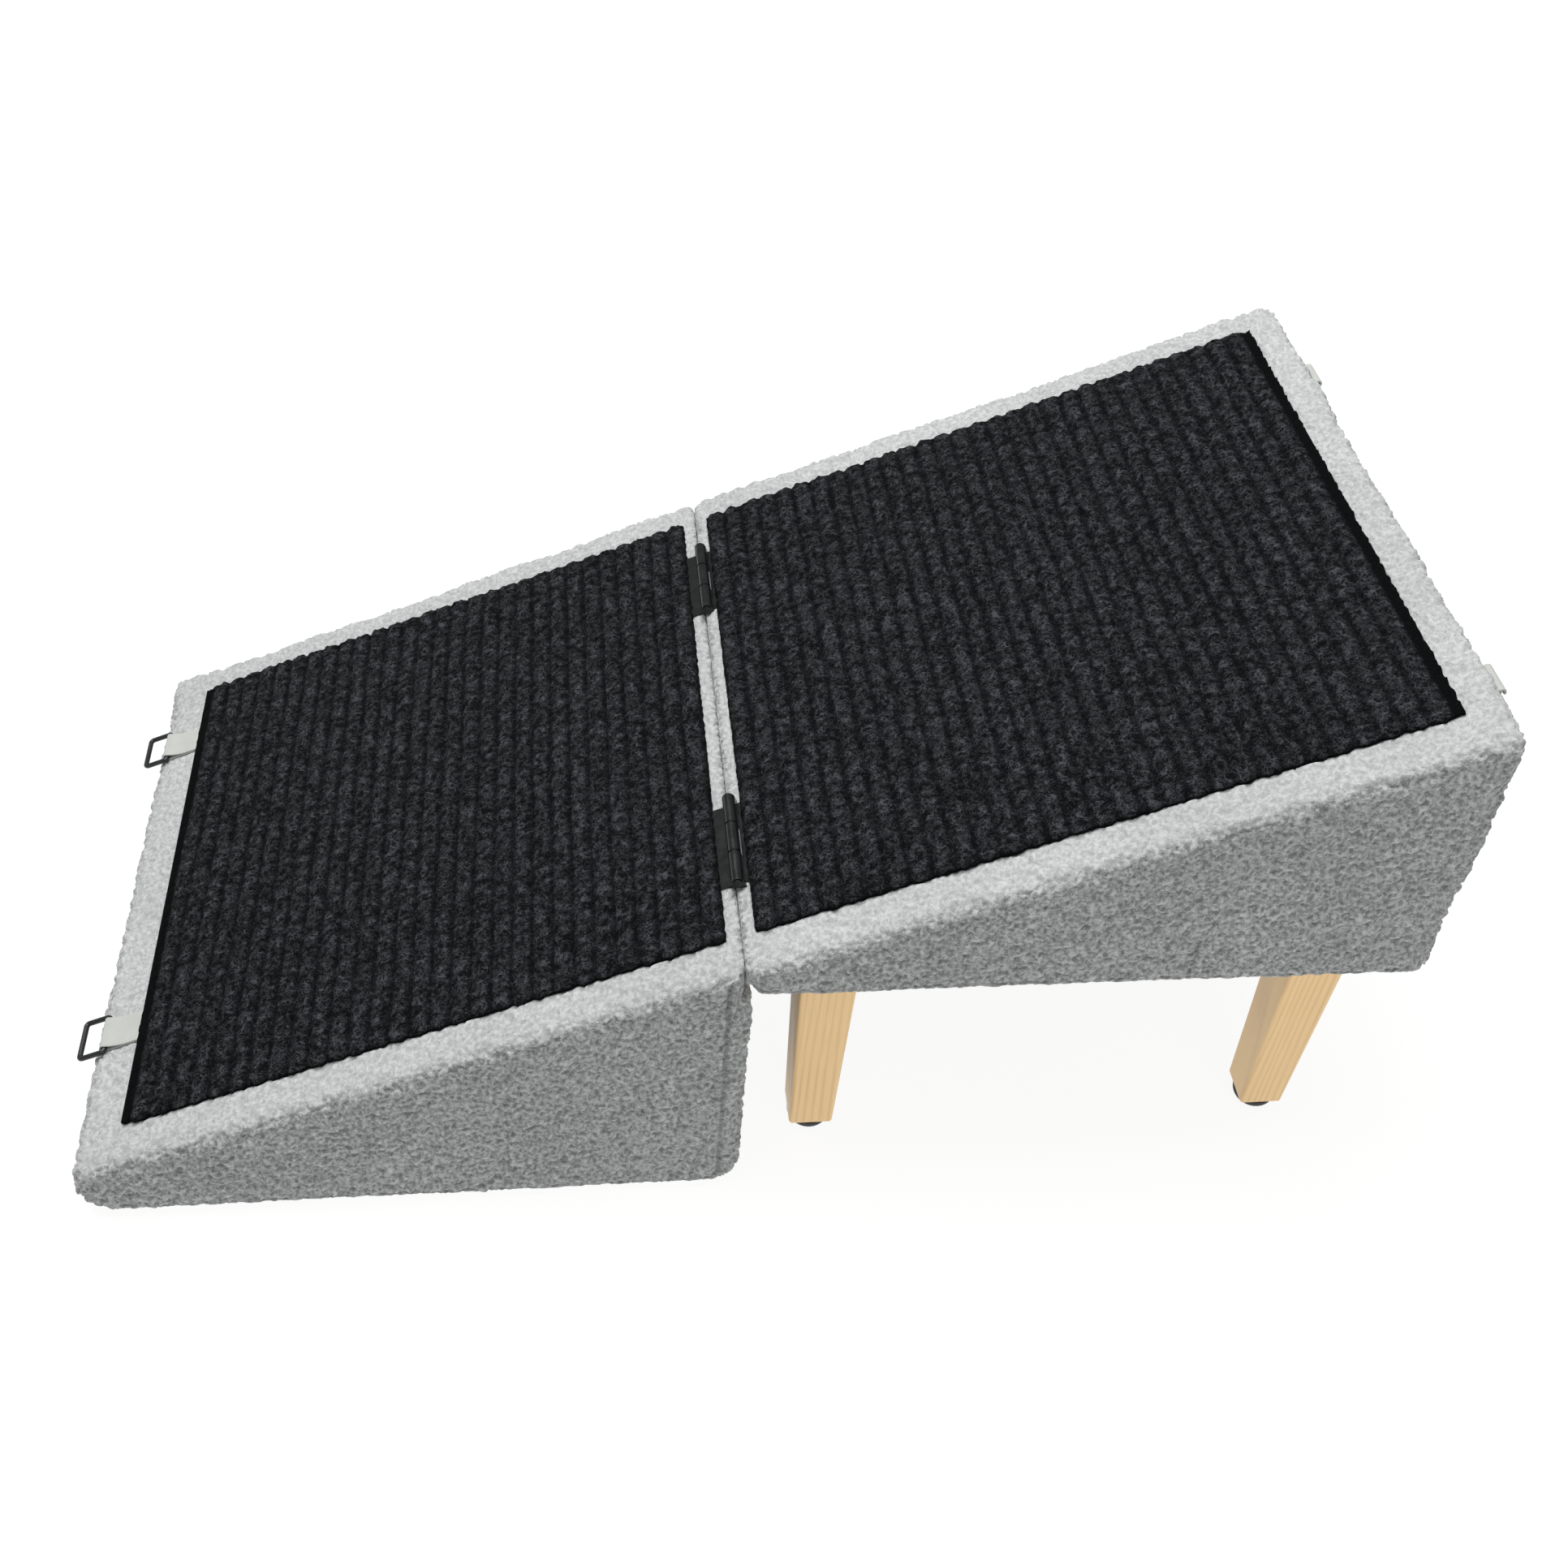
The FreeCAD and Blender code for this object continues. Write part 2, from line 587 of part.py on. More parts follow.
def add_closing(nodes):
    """Rings in their toe tabs, straps with their sewn patches, and the staples of both."""
    wall = FreeCAD.Placement(FreeCAD.Vector(BACK_X, 0, 0), FreeCAD.Rotation(FreeCAD.Vector(0, 1, 0), 90))
    tab_staples = []
    patch_staples = []
    for (name, _), ring_y, strap_y in zip(SIDES, RING_YS, STRAP_YS):
        nodes["ring_" + name] = ring(ring_y)
        nodes["toe_tab_" + name] = toe_tab(ring_y)
        nodes["strap_" + name] = strap(strap_y)
        nodes["strap_patch_" + name] = strap_patch(strap_y)
        for setback in STAPLE_SETBACKS:
            tab_staples.append(staple(TAB_TAIL - setback, ring_y, 2 * WEB, TOE_FRAME))
        for drop in STAPLE_DROPS:
            patch_staples.append(staple(drop - STRAP_ROOT_Z, strap_y, STRAP - STAPLE_WIRE, wall))
    nodes["tab_staples"] = Part.makeCompound(tab_staples)
    nodes["patch_staples"] = Part.makeCompound(patch_staples)
    drilled(nodes, nodes["tab_staples"], ["toe_tab_left", "toe_tab_right"])
    drilled(nodes, nodes["tab_staples"], ["lower_cover", "lower_ramp_board", "lower_carpet", "toe_rail"])
    drilled(nodes, nodes["patch_staples"], ["strap_patch_left", "strap_patch_right"])
    drilled(nodes, nodes["patch_staples"], ["upper_cover", "upper_back_panel"])


def build():
    """Make every node of the ramp."""
    os.makedirs("parts", exist_ok=True)
    nodes = {}
    nodes.update(lower_box())
    nodes.update(upper_box())
    add_covers(nodes)
    add_carpets(nodes)
    add_hinges(nodes)
    add_box_screws(nodes)
    add_legs(nodes)
    add_closing(nodes)
    for node, shape in nodes.items():
        print(node, len(shape.Solids), "solids", shape.isValid(), round(shape.Volume))
        save(shape, node)


build()
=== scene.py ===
"""Folding dog ramp: two fleece-covered wedges with ribbed carpets, butt hinges, pine legs and straps."""

import logging
import math
from collections.abc import Sequence
from dataclasses import dataclass, field
from enum import Enum

import bmesh
import bpy
import numpy as np
from mathutils import Matrix, Vector

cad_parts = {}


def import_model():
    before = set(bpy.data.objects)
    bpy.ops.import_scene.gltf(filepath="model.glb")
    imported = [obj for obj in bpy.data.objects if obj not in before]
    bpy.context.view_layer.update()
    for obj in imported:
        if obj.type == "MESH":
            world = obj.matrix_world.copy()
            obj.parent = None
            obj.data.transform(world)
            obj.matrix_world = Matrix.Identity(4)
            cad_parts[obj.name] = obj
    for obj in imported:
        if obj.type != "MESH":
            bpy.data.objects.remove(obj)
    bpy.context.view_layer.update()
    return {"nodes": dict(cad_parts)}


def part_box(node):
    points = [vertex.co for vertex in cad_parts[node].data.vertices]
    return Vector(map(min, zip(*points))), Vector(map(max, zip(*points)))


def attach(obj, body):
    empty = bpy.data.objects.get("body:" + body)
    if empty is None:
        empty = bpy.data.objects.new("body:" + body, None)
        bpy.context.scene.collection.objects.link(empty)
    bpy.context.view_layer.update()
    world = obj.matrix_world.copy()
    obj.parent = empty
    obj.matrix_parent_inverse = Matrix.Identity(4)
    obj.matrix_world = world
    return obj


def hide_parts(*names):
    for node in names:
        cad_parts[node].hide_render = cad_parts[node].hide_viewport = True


log = logging.getLogger("dog_ramp")

MM = 0.001
HINGE_Y = 111.5 * MM
Socket = bpy.types.NodeSocket
Colour = tuple[float, float, float]


class Body(Enum):
    """Moving bodies that the pieces ride on."""

    UPPER = "upper_ramp"
    LOWER = "lower_ramp"
    STRAP_LEFT = "strap_left"
    STRAP_RIGHT = "strap_right"


class Side(Enum):
    """Left and right of the ramp, looking up it."""

    LEFT = "left"
    RIGHT = "right"

    @property
    def sign(self) -> int:
        """Direction of this side along Y."""
        return 1 if self is Side.LEFT else -1


# ---------------------------------------------------------------- geometry helpers


@dataclass(frozen=True)
class Slope:
    """Plane that runs up the ramp from a foot point: along it, across it and square to it."""

    foot: Vector
    angle: float = math.radians(22.7)

    @property
    def run(self) -> Vector:
        """Unit vector up the ramp."""
        return Vector((math.cos(self.angle), 0, math.sin(self.angle)))

    @property
    def up(self) -> Vector:
        """Unit vector square to the ramp."""
        return Vector((-math.sin(self.angle), 0, math.cos(self.angle)))

    def matrix(self) -> Matrix:
        """Turns (along, across, off) into a place in the frame."""
        return Matrix.Translation(self.foot) @ Matrix.Rotation(-self.angle, 4, "Y")

    def height(self, x: float) -> float:
        """Height of the plane at x."""
        return self.foot.z + (x - self.foot.x) * math.tan(self.angle)

    def local(self, points: np.ndarray) -> tuple[np.ndarray, np.ndarray]:
        """Distances along the plane and square to it.

        Args:
            points: Places in the frame, one row each.

        Returns:
            How far up the plane each point is, and how far off it.
        """
        away = points - np.array(self.foot)
        return away @ np.array(self.run), away @ np.array(self.up)


class PileField:
    """Smooth random field whose bumps all have about one size."""

    def __init__(self, seed: int, length: float, spread: float, waves: int = 36) -> None:
        """Draw the waves that make the field.

        Args:
            seed: Seed of the draw.
            length: Distance from one bump to the next.
            spread: How much that distance varies, as a share of it.
            waves: How many plane waves are added up.
        """
        draw = np.random.default_rng(seed)
        directions = draw.normal(size=(waves, 3))
        directions /= np.linalg.norm(directions, axis=1)[:, None]
        lengths = length * (1 + spread * draw.uniform(-1, 1, waves))
        self.vectors = directions * (2 * math.pi / lengths)[:, None]
        self.phases = draw.uniform(0, 2 * math.pi, waves)

    def at(self, points: np.ndarray) -> np.ndarray:
        """Value of the field at each point, mostly between -2 and 2."""
        total = np.zeros(len(points))
        for vector, phase in zip(self.vectors, self.phases):
            total += np.cos(points @ vector + phase)
        return total * math.sqrt(2 / len(self.phases))


def ramp_up(low: float, high: float, values: np.ndarray) -> np.ndarray:
    """Smooth step of values from 0 at low to 1 at high."""
    t = np.clip((values - low) / (high - low), 0, 1)
    return t * t * (3 - 2 * t)


def link_mesh(name: str, bm: bmesh.types.BMesh) -> bpy.types.Object:
    """Turn a bmesh into an object of the scene, and free it.

    Args:
        name: Name of the piece.
        bm: Finished bmesh.

    Returns:
        The new object.
    """
    mesh = bpy.data.meshes.new(name)
    bm.to_mesh(mesh)
    bm.free()
    piece = bpy.data.objects.new(name, mesh)
    bpy.context.scene.collection.objects.link(piece)
    return piece


def apply_modifiers(piece: bpy.types.Object) -> None:
    """Replace a piece's mesh with what its modifiers make of it."""
    bpy.context.view_layer.update()
    graph = bpy.context.evaluated_depsgraph_get()
    mesh = bpy.data.meshes.new_from_object(piece.evaluated_get(graph))
    piece.modifiers.clear()
    piece.data = mesh


def mesh_arrays(mesh: bpy.types.Mesh) -> tuple[np.ndarray, np.ndarray]:
    """Vertex places and vertex normals of a mesh, one row each."""
    count = len(mesh.vertices)
    points = np.empty(count * 3)
    normals = np.empty(count * 3)
    mesh.vertices.foreach_get("co", points)
    mesh.vertex_normals.foreach_get("vector", normals)
    return points.reshape(-1, 3), normals.reshape(-1, 3)


def set_points(mesh: bpy.types.Mesh, points: np.ndarray) -> None:
    """Write vertex places back to a mesh."""
    mesh.vertices.foreach_set("co", points.ravel())
    mesh.update()


def set_attribute(mesh: bpy.types.Mesh, name: str, values: np.ndarray) -> None:
    """Store one number per vertex under a name."""
    layer = mesh.attributes.new(name, "FLOAT", "POINT")
    layer.data.foreach_set("value", values.astype(np.float32))


def smooth_shading(mesh: bpy.types.Mesh) -> None:
    """Shade every face of a mesh smooth."""
    mesh.polygons.foreach_set("use_smooth", [True] * len(mesh.polygons))


def flat_grid(rows: int, columns: int, shape: Matrix) -> bmesh.types.BMesh:
    """Grid of a unit square.

    Args:
        rows: Its faces along X.
        columns: Its faces along Y.
        shape: Matrix that stretches and places it.

    Returns:
        The open bmesh.
    """
    bm = bmesh.new()
    bmesh.ops.create_grid(bm, x_segments=rows, y_segments=columns, size=0.5)
    bmesh.ops.transform(bm, matrix=shape, verts=bm.verts[:])
    return bm


def thicken(piece: bpy.types.Object, thickness: float, bevel: float = 0.0) -> None:
    """Turn an open surface into a closed, smooth one.

    Args:
        piece: The piece.
        thickness: Its thickness, half to each side of the surface.
        bevel: Width of the bevel on its edges.
    """
    wall = piece.modifiers.new("thickness", "SOLIDIFY")
    wall.thickness = thickness
    wall.offset = 0
    if bevel:
        edge = piece.modifiers.new("edges", "BEVEL")
        edge.width = bevel
        edge.segments = 2
        edge.limit_method = "ANGLE"
    apply_modifiers(piece)
    smooth_shading(piece.data)


# ---------------------------------------------------------------- node helpers


class Graph:
    """Short calls for adding and joining nodes in one tree."""

    def __init__(self, tree: bpy.types.NodeTree) -> None:
        """Work on one node tree."""
        self.tree = tree

    def add(self, kind: str, feeds: dict | None = None, **settings: object) -> bpy.types.Node:
        """Add a node.

        Args:
            kind: Type of the node.
            feeds: Socket name or number to a value, or to the socket that feeds it.
            **settings: The node's own settings.

        Returns:
            The new node.
        """
        node = self.tree.nodes.new(kind)
        for key, value in settings.items():
            setattr(node, key, value)
        for key, value in (feeds or {}).items():
            self.feed(node.inputs[key], value)
        return node

    def feed(self, target: Socket, value: object) -> None:
        """Set a socket, a colour with full alpha, or link another one to it."""
        if isinstance(value, Socket):
            self.tree.links.new(value, target)
        elif target.type == "RGBA":
            target.default_value = (*value, 1.0)
        else:
            target.default_value = value

    def calc(self, operation: str, *values: object, clamp: bool = False) -> Socket:
        """Result of one Math node."""
        feeds = dict(enumerate(values))
        return self.add("ShaderNodeMath", feeds, operation=operation, use_clamp=clamp).outputs[0]

    def plus(self, a: object, b: object, clamp: bool = False) -> Socket:
        """Sum of a and b."""
        return self.calc("ADD", a, b, clamp=clamp)

    def minus(self, a: object, b: object) -> Socket:
        """What is left of a without b."""
        return self.calc("SUBTRACT", a, b)

    def times(self, a: object, b: object) -> Socket:
        """Product of a and b."""
        return self.calc("MULTIPLY", a, b)

    def mix(self, factor: object, a: object, b: object, blend: str = "MIX") -> Socket:
        """Colour between a and b."""
        node = self.add("ShaderNodeMix", data_type="RGBA", blend_type=blend)
        for number, value in ((0, factor), (6, a), (7, b)):
            self.feed(node.inputs[number], value)
        return node.outputs[2]

    def scaled(self, vector: Socket, scale: tuple[float, float, float]) -> Socket:
        """Vector stretched by a factor on each axis."""
        return self.add("ShaderNodeMapping", {"Vector": vector, "Scale": scale}).outputs[0]

    def split(self, vector: Socket) -> list[Socket]:
        """X, Y and Z of a vector."""
        return list(self.add("ShaderNodeSeparateXYZ", {0: vector}).outputs)

    def noise(self, vector: Socket, scale: object, detail: float = 2.0, distortion: float = 0.0) -> Socket:
        """Value of a noise texture."""
        feeds = {"Vector": vector, "Scale": scale, "Detail": detail, "Distortion": distortion}
        return self.add("ShaderNodeTexNoise", feeds).outputs[0]

    def between(self, value: Socket, low: object, high: object) -> Socket:
        """0 where the value is at low or under, 1 where it is at high or over."""
        feeds = {"Value": value, "From Min": low, "From Max": high}
        return self.add("ShaderNodeMapRange", feeds, clamp=True).outputs[0]

    def attribute(self, name: str) -> Socket:
        """A number stored on the mesh."""
        return self.add("ShaderNodeAttribute", attribute_name=name).outputs["Fac"]

    def place(self) -> Socket:
        """Object coordinates, in metres."""
        return self.add("ShaderNodeTexCoord").outputs["Object"]


# ---------------------------------------------------------------- shared effects


@dataclass(frozen=True)
class Effect:
    """A shared effect: a node group that turns a vector and a scale into a mask and a height."""

    name: str

    def tree(self) -> bpy.types.NodeTree:
        """The group, built the first time it is asked for."""
        found = bpy.data.node_groups.get(self.name)
        if found:
            return found
        tree = bpy.data.node_groups.new(self.name, "ShaderNodeTree")
        tree.interface.new_socket("Vector", in_out="INPUT", socket_type="NodeSocketVector")
        scale = tree.interface.new_socket("Scale", in_out="INPUT", socket_type="NodeSocketFloat")
        scale.default_value = 1.0
        for label in ("Mask", "Height"):
            tree.interface.new_socket(label, in_out="OUTPUT", socket_type="NodeSocketFloat")
        graph = Graph(tree)
        entry = graph.add("NodeGroupInput")
        mask, height = self.fill(graph, entry.outputs["Vector"], entry.outputs["Scale"])
        graph.add("NodeGroupOutput", {"Mask": mask, "Height": height})
        return tree

    def fill(self, graph: Graph, vector: Socket, scale: Socket) -> tuple[Socket, Socket]:
        """Build the group's nodes.

        Args:
            graph: The group's tree.
            vector: Place on the surface.
            scale: Repeats per unit of the vector.

        Returns:
            The mask and the height.
        """
        raise NotImplementedError

    def use(self, graph: Graph, vector: Socket, scale: float) -> tuple[Socket, Socket]:
        """Place the group in a material's tree.

        Args:
            graph: The material's tree.
            vector: What feeds the group's vector.
            scale: The group's scale there.

        Returns:
            The group's mask and height.
        """
        feeds = {"Vector": vector, "Scale": scale}
        node = graph.add("ShaderNodeGroup", feeds, node_tree=self.tree())
        return node.outputs["Mask"], node.outputs["Height"]


@dataclass(frozen=True)
class Fibre(Effect):
    """Tangled short fibres: bright threads over a dull ground."""

    name: str = "fibre"

    def fill(self, graph: Graph, vector: Socket, scale: Socket) -> tuple[Socket, Socket]:
        """Middle contours of two noises give curved threads, broken up by a third."""
        threads = []
        for share in (1.0, 1.7):
            noise = graph.noise(vector, graph.times(scale, share), 1.0, 0.15)
            off = graph.calc("ABSOLUTE", graph.minus(noise, 0.5))
            threads.append(graph.minus(1.0, graph.between(off, 0.01, 0.065)))
        total = graph.calc("MAXIMUM", *threads)
        patch = graph.noise(vector, graph.times(scale, 0.8), 1.0)
        return graph.times(total, graph.between(patch, 0.42, 0.60)), total


@dataclass(frozen=True)
class Curl(Effect):
    """Small curls of wool round gaps; the fleece paints the curls light and the gaps darker as shade."""

    name: str = "curl"

    def fill(self, graph: Graph, vector: Socket, scale: Socket) -> tuple[Socket, Socket]:
        """Blobs of a rough noise, with fine hair over them."""
        blobs = graph.between(graph.noise(vector, scale, 2.0, 0.2), 0.38, 0.64)
        hair = graph.between(graph.noise(vector, graph.times(scale, 3.6), 2.0, 0.4), 0.3, 0.7)
        return graph.plus(graph.times(blobs, 0.62), graph.times(hair, 0.38)), blobs


@dataclass(frozen=True)
class Weave(Effect):
    """Plain weave over the vector's X and Y."""

    name: str = "weave"

    def fill(self, graph: Graph, vector: Socket, scale: Socket) -> tuple[Socket, Socket]:
        """Warp ribs crossed by weft ribs."""
        turns = graph.times(scale, 2 * math.pi)
        warp, weft = (graph.calc("SINE", graph.times(part, turns)) for part in graph.split(vector)[:2])
        height = graph.between(graph.times(warp, weft), -1.0, 1.0)
        return height, height


@dataclass(frozen=True)
class Mottle(Effect):
    """Slow, uneven change over a surface, with a fine speckle on it."""

    name: str = "mottle"

    def fill(self, graph: Graph, vector: Socket, scale: Socket) -> tuple[Socket, Socket]:
        """Broad noise for the mask, fine noise for the height."""
        broad = graph.noise(vector, scale, 3.0, 0.3)
        fine = graph.noise(vector, graph.times(scale, 18.0), 2.0)
        return graph.between(broad, 0.3, 0.7), fine


@dataclass(frozen=True)
class Grain(Effect):
    """Wood grain that runs along the vector's Z."""

    name: str = "grain"

    def fill(self, graph: Graph, vector: Socket, scale: Socket) -> tuple[Socket, Socket]:
        """Growth lines bent a little by noise, with short pores between them."""
        bend = graph.noise(graph.scaled(vector, (1.0, 1.0, 0.08)), graph.times(scale, 0.12), 2.0, 0.2)
        x, y, _ = graph.split(vector)
        aslant = graph.plus(x, graph.times(y, 0.2))
        turns = graph.plus(graph.times(aslant, scale), graph.times(bend, 3.0))
        rings = graph.calc("SINE", graph.times(turns, 2 * math.pi))
        late = graph.calc("POWER", graph.between(rings, -1.0, 1.0), 2.5)
        pores = graph.noise(graph.scaled(vector, (1.0, 1.0, 0.02)), graph.times(scale, 5.0), 2.0)
        return late, graph.between(pores, 0.35, 0.6)


# ---------------------------------------------------------------- finishes


@dataclass(frozen=True)
class Finish:
    """A finish: its name, its slot, and the node material that shows it.

    Its colour goes from under to over, and its bump is that many metres deep.
    """

    name: str
    slot: str
    under: Colour
    over: Colour
    roughness: float = 0.95
    bump: float = 0.3 * MM
    strength: float = 1.0
    specular: float = 0.5
    sheen: float = 0.0

    def material(self) -> bpy.types.Material:
        """The finish's material, built the first time it is asked for."""
        found = bpy.data.materials.get(self.name)
        if found:
            return found
        material = bpy.data.materials.new(self.name)
        material.use_nodes = True
        material.node_tree.nodes.clear()
        graph = Graph(material.node_tree)
        shader = graph.add("ShaderNodeBsdfPrincipled", {
            "Roughness": self.roughness,
            "Specular IOR Level": self.specular,
            "Sheen Weight": self.sheen,
        })
        graph.add("ShaderNodeOutputMaterial", {"Surface": shader.outputs[0]})
        colour, height = self.pattern(graph, shader)
        bump = {"Height": height, "Distance": self.bump, "Strength": self.strength}
        graph.feed(shader.inputs["Normal"], graph.add("ShaderNodeBump", bump).outputs[0])
        graph.feed(shader.inputs["Base Color"], colour)
        return material

    def pattern(self, graph: Graph, shader: bpy.types.Node) -> tuple[Socket, Socket]:
        """Build the surface's nodes, and feed what else of the shader changes over it.

        Args:
            graph: The material's tree.
            shader: Its Principled node.

        Returns:
            The colour and the height of the bump.
        """
        raise NotImplementedError

    def dress(self, piece: bpy.types.Object) -> None:
        """Put the finish on a piece, in place of what it has."""
        piece.data.materials.clear()
        piece.data.materials.append(self.material())


@dataclass(frozen=True)
class FleeceFinish(Finish):
    """Curled sherpa pile, painted darker between the curls as shade, and painted lighter there on faces
    turned up to the light.
    """

    name: str = "sherpa_fleece"
    slot: str = "fleece"
    under: Colour = (0.10, 0.108, 0.105)
    over: Colour = (0.57, 0.585, 0.58)
    under_in_light: Colour = (0.33, 0.34, 0.337)
    bump: float = 0.9 * MM
    strength: float = 0.5
    specular: float = 0.1
    sheen: float = 0.25

    def pattern(self, graph: Graph, shader: bpy.types.Node) -> tuple[Socket, Socket]:
        """Colour by depth in the pile, painted darker towards the gaps as shade, with fine curls on top."""
        place = graph.place()
        wool, _ = Curl().use(graph, place, 420.0)
        broad, _ = Mottle().use(graph, place, 14.0)
        # Painted shade: the pile's colour darkens from the curl tips down into the gaps between them.
        lift = graph.times(graph.attribute("curl"), 0.16)
        depth = graph.plus(graph.times(wool, 0.95), lift, clamp=True)
        # Painted light: the shaded gap colour is lighter on faces turned up to the overhead light.
        gaps = graph.mix(graph.attribute("top_light"), self.under, self.under_in_light)
        pile = graph.mix(depth, gaps, self.over)
        # Darker along the seams: painted shade in their grooves; then a broad random mottle of tone.
        shade = graph.minus(1.0, graph.times(graph.attribute("seam"), 0.6))
        shade = graph.times(graph.between(broad, -9.0, 1.0), shade)
        grey = graph.add("ShaderNodeCombineColor", {0: shade, 1: shade, 2: shade}).outputs[0]
        graph.feed(shader.inputs["Sheen Roughness"], 0.6)
        return graph.mix(1.0, pile, grey, "MULTIPLY"), wool


@dataclass(frozen=True)
class CarpetFinish(Finish):
    """Heathered charcoal carpet with lighter stray fibres."""

    name: str = "ribbed_carpet"
    slot: str = "carpet"
    under: Colour = (0.0030, 0.0036, 0.0038)
    over: Colour = (0.054, 0.060, 0.064)
    bump: float = 0.9 * MM
    strength: float = 0.8
    specular: float = 0.05

    def pattern(self, graph: Graph, shader: bpy.types.Node) -> tuple[Socket, Socket]:
        """Fibres on the ribs; the grooves are painted nearly black as shade."""
        place = graph.place()
        stray, strands = Fibre().use(graph, place, 230.0)
        short, _ = Fibre().use(graph, place, 400.0)
        _, speckle = Mottle().use(graph, place, 55.0)
        specks = graph.times(graph.between(speckle, 0.48, 0.72), 0.3)
        tone = graph.plus(graph.calc("MAXIMUM", stray, graph.times(short, 0.6)), specks)
        # Painted shade: the fibres fade out towards the rib grooves, leaving the dark ground there.
        ragged = graph.plus(graph.attribute("rib"), graph.times(graph.minus(speckle, 0.5), 0.7))
        shown = graph.times(tone, graph.between(ragged, 0.25, 0.85))
        return graph.mix(shown, self.under, self.over), graph.plus(strands, graph.times(speckle, 0.8))


@dataclass(frozen=True)
class WebbingFinish(Finish):
    """Smooth off-white webbing, woven along its length."""

    name: str = "off_white_webbing"
    slot: str = "webbing"
    under: Colour = (0.38, 0.39, 0.365)
    over: Colour = (0.53, 0.55, 0.51)
    roughness: float = 0.8
    bump: float = 0.15 * MM
    strength: float = 0.7
    sheen: float = 0.15

    def pattern(self, graph: Graph, shader: bpy.types.Node) -> tuple[Socket, Socket]:
        """Weave by the strip's own across and along, in metres."""
        strip = {0: graph.attribute("across"), 1: graph.attribute("along")}
        weave, height = Weave().use(graph, graph.add("ShaderNodeCombineXYZ", strip).outputs[0], 650.0)
        broad, _ = Mottle().use(graph, graph.place(), 120.0)
        tone = graph.times(weave, graph.between(broad, -1.5, 1.0))
        return graph.mix(tone, self.under, self.over), height


@dataclass(frozen=True)
class FastenerFinish(Finish):
    """Napped loop tape on the straps, and the thread that is sewn through them."""

    name: str = "loop_tape"
    slot: str = "webbing"
    under: Colour = (0.36, 0.37, 0.35)
    over: Colour = (0.72, 0.73, 0.69)
    sheen: float = 0.3

    def pattern(self, graph: Graph, shader: bpy.types.Node) -> tuple[Socket, Socket]:
        """Tiny loops over a darker tape."""
        _, loops = Fibre().use(graph, graph.place(), 900.0)
        broad, _ = Mottle().use(graph, graph.place(), 200.0)
        tone = graph.plus(loops, graph.times(broad, 0.3), clamp=True)
        return graph.mix(tone, self.under, self.over), loops


@dataclass(frozen=True)
class LinerFinish(Finish):
    """Black spun liner with its fine dimpled grid."""

    name: str = "spun_liner"
    slot: str = "liner"
    under: Colour = (0.012, 0.012, 0.013)
    over: Colour = (0.030, 0.030, 0.032)
    roughness: float = 0.85
    bump: float = 0.2 * MM
    strength: float = 0.6

    def pattern(self, graph: Graph, shader: bpy.types.Node) -> tuple[Socket, Socket]:
        """Dimples over an uneven web."""
        weave, height = Weave().use(graph, graph.place(), 420.0)
        broad, _ = Mottle().use(graph, graph.place(), 90.0)
        return graph.mix(graph.times(weave, broad), self.under, self.over), height


@dataclass(frozen=True)
class WoodFinish(Finish):
    """Wood with its grain along one axis, pale early wood under darker late wood."""

    name: str = "pine_legs"
    slot: str = "pine"
    under: Colour = (0.93, 0.64, 0.31)
    over: Colour = (0.62, 0.36, 0.14)
    roughness: float = 0.5
    bump: float = 0.08 * MM
    strength: float = 0.5
    turn: tuple[float, float, float] = (0.0, 0.0, 0.0)
    scale: float = 250.0
    coat: float = 0.2

    def pattern(self, graph: Graph, shader: bpy.types.Node) -> tuple[Socket, Socket]:
        """Growth rings, pores and a thin lacquer."""
        turned = graph.add("ShaderNodeMapping", {"Vector": graph.place(), "Rotation": self.turn}).outputs[0]
        late, pores = Grain().use(graph, turned, self.scale)
        broad, _ = Mottle().use(graph, turned, 22.0)
        tone = graph.times(late, graph.between(broad, -0.8, 1.4))
        warm = graph.mix(graph.times(tone, 0.6), self.under, self.over)
        dark_pores = graph.times(graph.minus(1.0, pores), 0.12)
        graph.feed(shader.inputs["Roughness"], graph.calc("MULTIPLY_ADD", late, -0.1, self.roughness))
        graph.feed(shader.inputs["Coat Weight"], self.coat)
        graph.feed(shader.inputs["Coat Roughness"], 0.35)
        return graph.mix(dark_pores, warm, self.over), pores


@dataclass(frozen=True)
class MetalFinish(Finish):
    """Painted or plated metal with faint scuffs."""

    name: str = "charcoal_hinges"
    slot: str = "hinge_steel"
    under: Colour = (0.004, 0.0055, 0.0055)
    over: Colour = (0.007, 0.009, 0.009)
    roughness: float = 0.22
    bump: float = 0.04 * MM
    strength: float = 0.4
    metallic: float = 0.0

    def pattern(self, graph: Graph, shader: bpy.types.Node) -> tuple[Socket, Socket]:
        """Even paint or plate, a little different and duller where handled."""
        broad, fine = Mottle().use(graph, graph.place(), 160.0)
        graph.feed(shader.inputs["Roughness"], graph.calc("MULTIPLY_ADD", broad, 0.12, self.roughness))
        graph.feed(shader.inputs["Metallic"], self.metallic)
        return graph.mix(graph.times(broad, 0.6), self.under, self.over), fine


